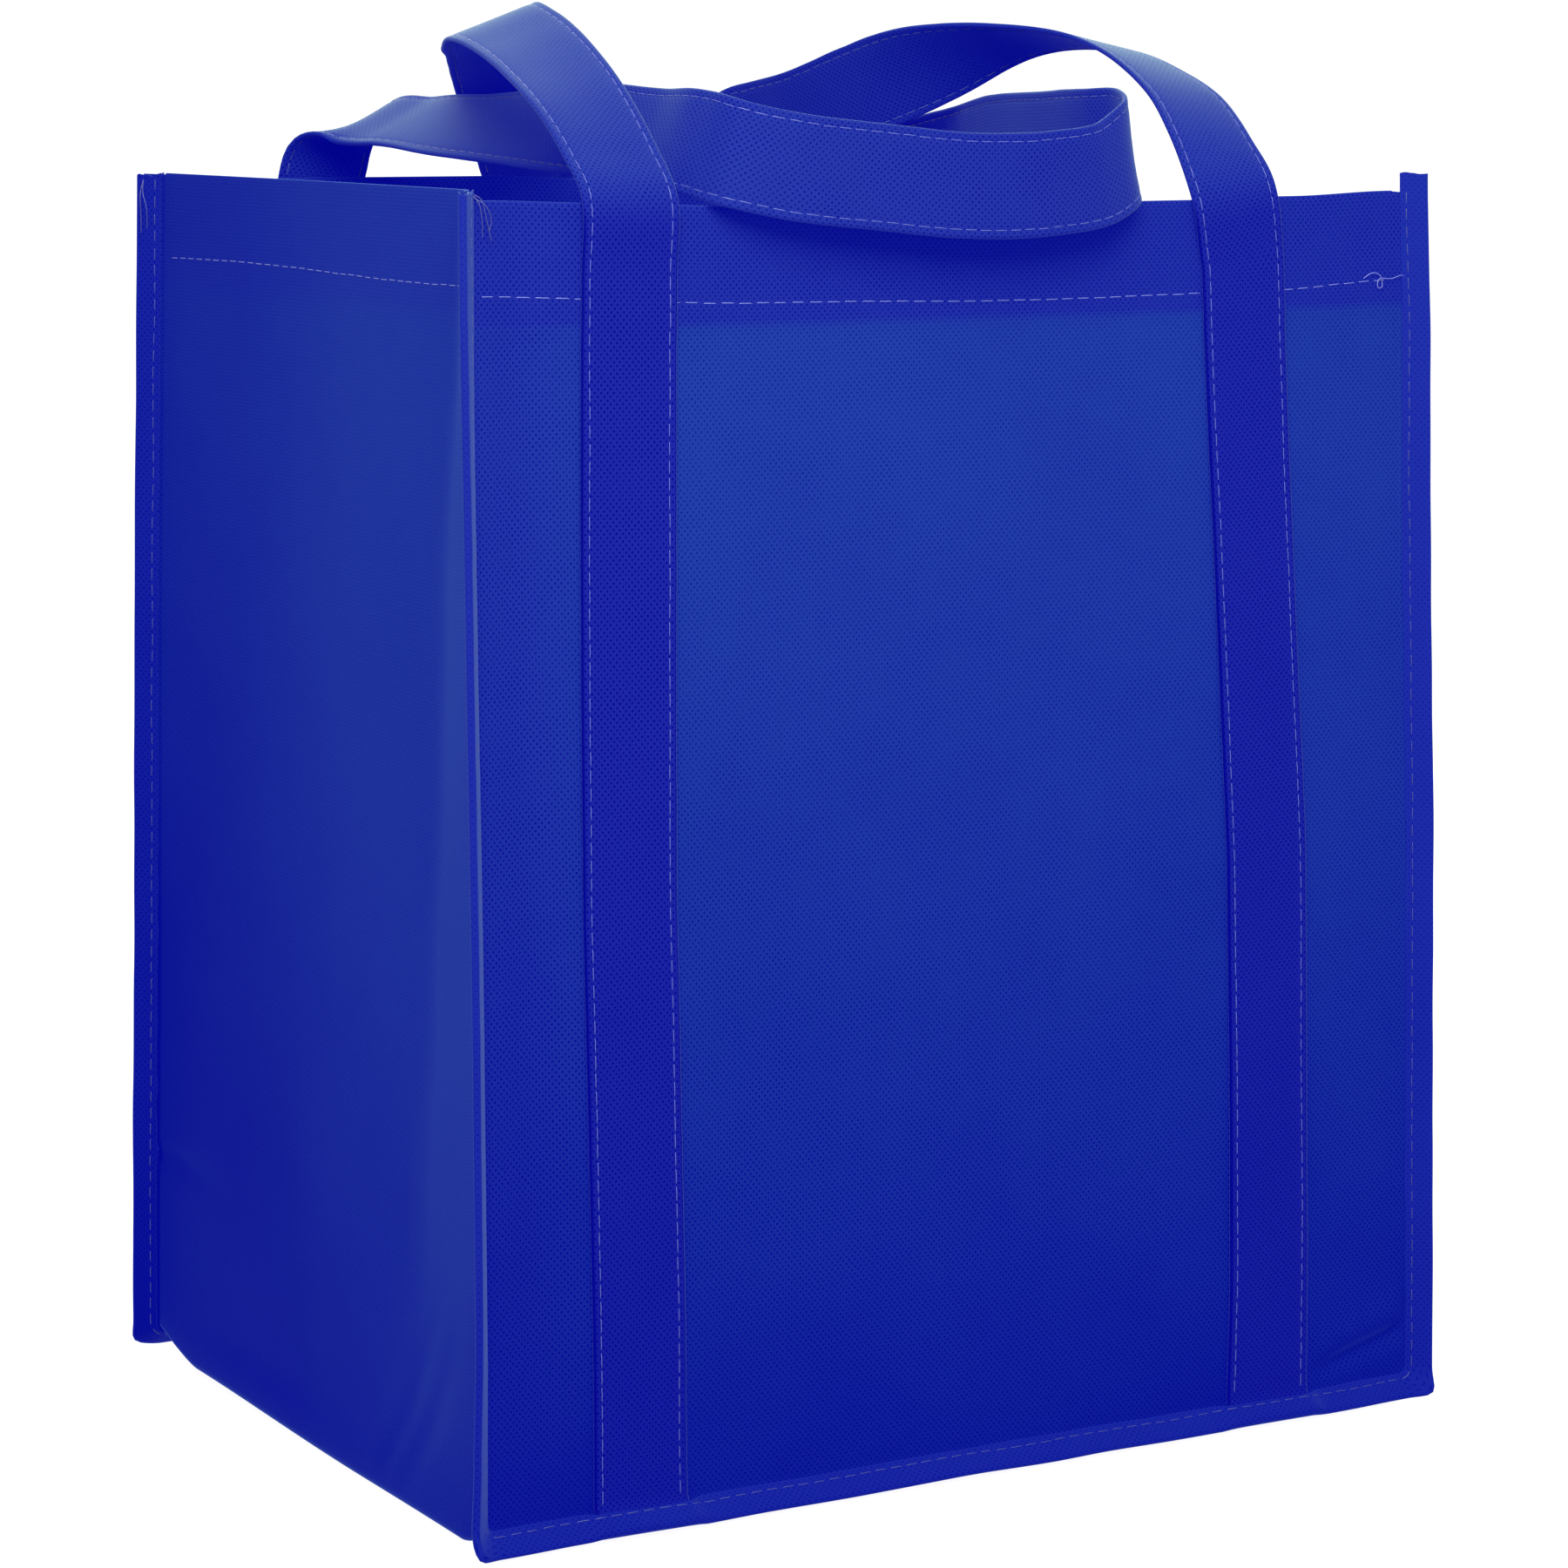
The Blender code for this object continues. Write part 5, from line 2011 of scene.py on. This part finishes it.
@dataclass(frozen=True)
class SoftLight:
    """One soft panel of studio light, aimed at the bag."""

    name: str
    place: Triple
    size: Pair
    power: float

    def hang(self) -> None:
        """Make the light and turn it to the middle of the bag."""
        data = bpy.data.lights.new(self.name, "AREA")
        data.shape = "RECTANGLE"
        data.size, data.size_y = self.size
        data.energy = self.power
        lamp = bpy.data.objects.new(self.name, data)
        bpy.context.collection.objects.link(lamp)
        lamp.location = self.place
        aim = Vector((0.0, 0.0, 0.2)) - Vector(self.place)
        lamp.rotation_euler = aim.to_track_quat("-Z", "Y").to_euler()


@dataclass
class Studio:
    """A plain pale floor under plain soft light."""

    room: Workroom
    sky: float = 1.05
    floor: PlainFinish = PlainFinish(
        "Pale floor", (0.12, 0.12, 0.12), 1.0, grain=3.0, grain_depth=0.0, uneven=0.0, glow=0.94
    )
    floor_size: float = 40.0
    floor_drop: float = 0.4 * MM
    lights: tuple[SoftLight, ...] = (
        SoftLight("Key panel", (-0.45, -0.85, 0.95), (0.7, 0.7), 44.0),
        SoftLight("Top panel", (0.1, 0.3, 1.9), (1.4, 1.4), 22.0),
        SoftLight("Back panel light", (0.7, 1.7, 1.3), (1.4, 1.4), 34.0),
    )

    def set_up(self) -> None:
        """Lay the floor, light it and set the plain view of colours."""
        deselect_all()
        bpy.ops.mesh.primitive_plane_add(
            size=self.floor_size, location=(0.0, 0.0, -self.floor_drop)
        )
        floor = bpy.context.object
        floor.name = "studio_floor"
        floor.data.materials.append(self.room.finish(self.floor))
        for light in self.lights:
            light.hang()
        world = bpy.data.worlds.new("Pale sky")
        world.use_nodes = True
        sky = world.node_tree.nodes["Background"]
        sky.inputs["Color"].default_value = (1.0, 1.0, 1.0, 1.0)
        sky.inputs["Strength"].default_value = self.sky
        bpy.context.scene.world = world
        view = bpy.context.scene.view_settings
        view.view_transform = "Standard"
        view.look = "None"
        view.exposure = 0.0
        view.gamma = 1.0


HEM_TAILS = (
    (
        (125.0, -93.9, 306.6), (127.4, -94.6, 308.0), (129.8, -94.9, 307.2),
        (130.4, -95.0, 304.4), (129.0, -94.9, 304.2), (129.6, -94.8, 306.4),
        (133.6, -94.8, 306.4), (137.0, -94.7, 307.2), (138.4, -94.6, 306.2),
    ),
)
FRONT_TAILS = (
    (
        (-138.4, -94.6, 331.4), (-136.6, -95.2, 330.0),
        (-135.4, -95.0, 326.2), (-134.0, -94.8, 320.6),
    ),
    (
        (-138.6, -94.8, 331.0), (-137.4, -95.6, 329.0),
        (-136.6, -95.4, 324.8), (-136.4, -95.0, 321.4),
    ),
    (
        (-138.4, -94.6, 330.6), (-135.8, -95.6, 328.8),
        (-134.2, -95.4, 325.6), (-134.6, -95.0, 322.6),
    ),
)
BACK_TAILS = (
    ((-143.6, 94.0, 330.6), (-145.0, 91.2, 327.2), (-144.6, 89.6, 322.6), (-144.0, 91.0, 317.6)),
    ((-143.6, 94.4, 330.2), (-145.2, 92.6, 326.4), (-144.8, 93.2, 321.0), (-144.4, 94.2, 316.4)),
)
FRONT_LEGS = ((-98.5, -99.5, -96.5), (93.8, 92.3, 85.5))
FRONT_LOOP = (
    (-96.5, -94.3, 1.0, 1.0, 0.0, 0.0),
    (-97.0, -85.0, 11.5, 1.0, 0.0, 0.05),
    (-96.5, -71.0, 22.0, 1.0, 0.05, 0.16),
    (-95.0, -52.0, 31.5, 1.0, 0.05, 0.27),
    (-93.0, -32.0, 38.5, 1.0, 0.0, 0.34),
    (-90.5, -11.0, 42.5, 1.0, -0.12, 0.38),
    (-82.4, 8.4, 40.0, 0.9, -0.33, 0.33),
    (-70.5, 29.0, 36.0, 0.88, -0.45, 0.17),
    (-60.0, 47.5, 30.5, 0.87, -0.5, 0.1),
    (-49.0, 65.5, 23.5, 0.86, -0.5, 0.1),
    (-37.0, 81.5, 13.2, 0.86, -0.47, 0.15),
    (-27.5, 93.5, 2.6, 0.9, -0.38, 0.22),
    (-18.5, 101.5, -5.5, 0.6, -0.15, 0.78),
    (-6.0, 105.5, -9.5, 0.3, 0.05, 0.95),
    (10.0, 106.5, -10.0, 0.05, 0.15, 0.98),
    (24.0, 105.0, -5.0, -0.2, 0.2, 0.96),
    (35.0, 101.5, 4.5, -0.27, 0.25, 0.93),
    (41.0, 95.0, 12.0, -0.25, 0.25, 0.93),
    (43.5, 84.0, 14.5, -0.28, 0.28, 0.92),
    (45.0, 67.0, 17.3, -0.31, 0.4, 0.87),
    (49.5, 40.0, 24.8, -0.31, 0.34, 0.88),
    (58.0, 14.0, 32.8, -0.52, -0.34, 0.78),
    (70.0, -10.0, 39.0, -0.8, -0.5, 0.3),
    (79.5, -37.0, 37.5, -0.9, -0.4, 0.12),
    (81.5, -57.0, 31.5, -0.94, -0.34, 0.05),
    (82.0, -73.0, 23.5, -0.96, -0.26, -0.05),
    (81.2, -86.0, 12.5, -0.99, -0.13, -0.1),
    (82.0, -94.3, 1.0, -0.99, 0.0, -0.13),
)
BACK_LEGS = ((-93.0, -92.0, -91.2), (91.0, 90.0, 88.5))
BACK_LOOP = (
    (-91.0, 94.3, 0.5, -1.0, 0.0, 0.0),
    (-90.0, 92.0, 6.8, -0.99, 0.08, -0.14),
    (-86.5, 84.0, 14.4, -0.91, 0.2, -0.4),
    (-82.0, 62.0, 16.5, -0.87, 0.06, -0.47),
    (-80.5, 27.0, 16.0, -0.8, -0.05, -0.6),
    (-78.5, -10.0, 16.0, -0.65, 0.0, -0.76),
    (-78.5, -42.0, 15.6, -0.48, 0.0, -0.87),
    (-76.0, -66.0, 14.2, -0.42, -0.15, -0.9),
    (-74.3, -85.5, 13.4, -0.22, -0.35, -0.92),
    (-70.5, -97.2, 10.9, -0.1, -0.15, -0.98),
    (-58.0, -102.5, 7.9, 0.0, -0.06, -1.0),
    (-33.0, -105.5, 4.9, 0.0, -0.05, -1.0),
    (-4.0, -107.5, 2.4, 0.05, -0.05, -1.0),
    (19.0, -107.0, 3.0, 0.15, 0.0, -0.97),
    (36.0, -104.0, 5.4, 0.22, 0.0, -0.96),
    (47.0, -98.0, 10.6, 0.16, -0.06, -0.98),
    (50.5, -88.5, 13.2, 0.1, -0.12, -0.99),
    (51.0, -73.0, 13.2, 0.1, -0.05, -0.99),
    (56.0, -45.0, 12.3, 0.1, 0.0, -0.99),
    (66.0, -5.0, 11.0, 0.15, 0.0, -0.98),
    (76.0, 30.0, 7.4, 0.35, 0.05, -0.93),
    (83.5, 60.0, 6.6, 0.7, 0.05, -0.7),
    (87.5, 81.0, 9.0, 0.94, 0.0, -0.33),
    (88.0, 91.5, 7.0, 0.99, 0.0, -0.1),
    (88.0, 94.3, 0.5, 1.0, 0.0, 0.0),
)


def main() -> None:
    """Make the camera, every piece of the bag and the studio, in that order."""
    logging.basicConfig(level=logging.INFO, format="%(name)s: %(message)s")
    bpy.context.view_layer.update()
    PhotoCamera().set_up()
    room = Workroom()
    SideGusset(room).make()
    for face in Face:
        WallPanel(room, face).make()
    tapes = [
        FinBinding(room, face, rises, (legs[0][0] * MM, legs[1][0] * MM))
        for face, rises, legs in (
            (Face.FRONT, (2.3 * MM, 4.4 * MM), FRONT_LEGS),
            (Face.BACK, (2.3 * MM, 3.0 * MM), BACK_LEGS),
        )
    ]
    front_route = Route(room.form, Face.FRONT, FRONT_LEGS, FRONT_LOOP)
    back_route = Route(room.form, Face.BACK, BACK_LEGS, BACK_LOOP)
    sewing = Stitching(room)
    for tape in tapes:
        tape.make()
        sewing.tape_rows(tape)
    for route in (front_route, back_route):
        strap = HandleStrap(room, route, f"{route.face.name.lower()}_handle_strap")
        strap.make()
        sewing.strap_rows(strap)
    sewing.hem_rows()
    BaseBoard(room).make()
    Studio(room).set_up()


if __name__ == "__main__":
    main()
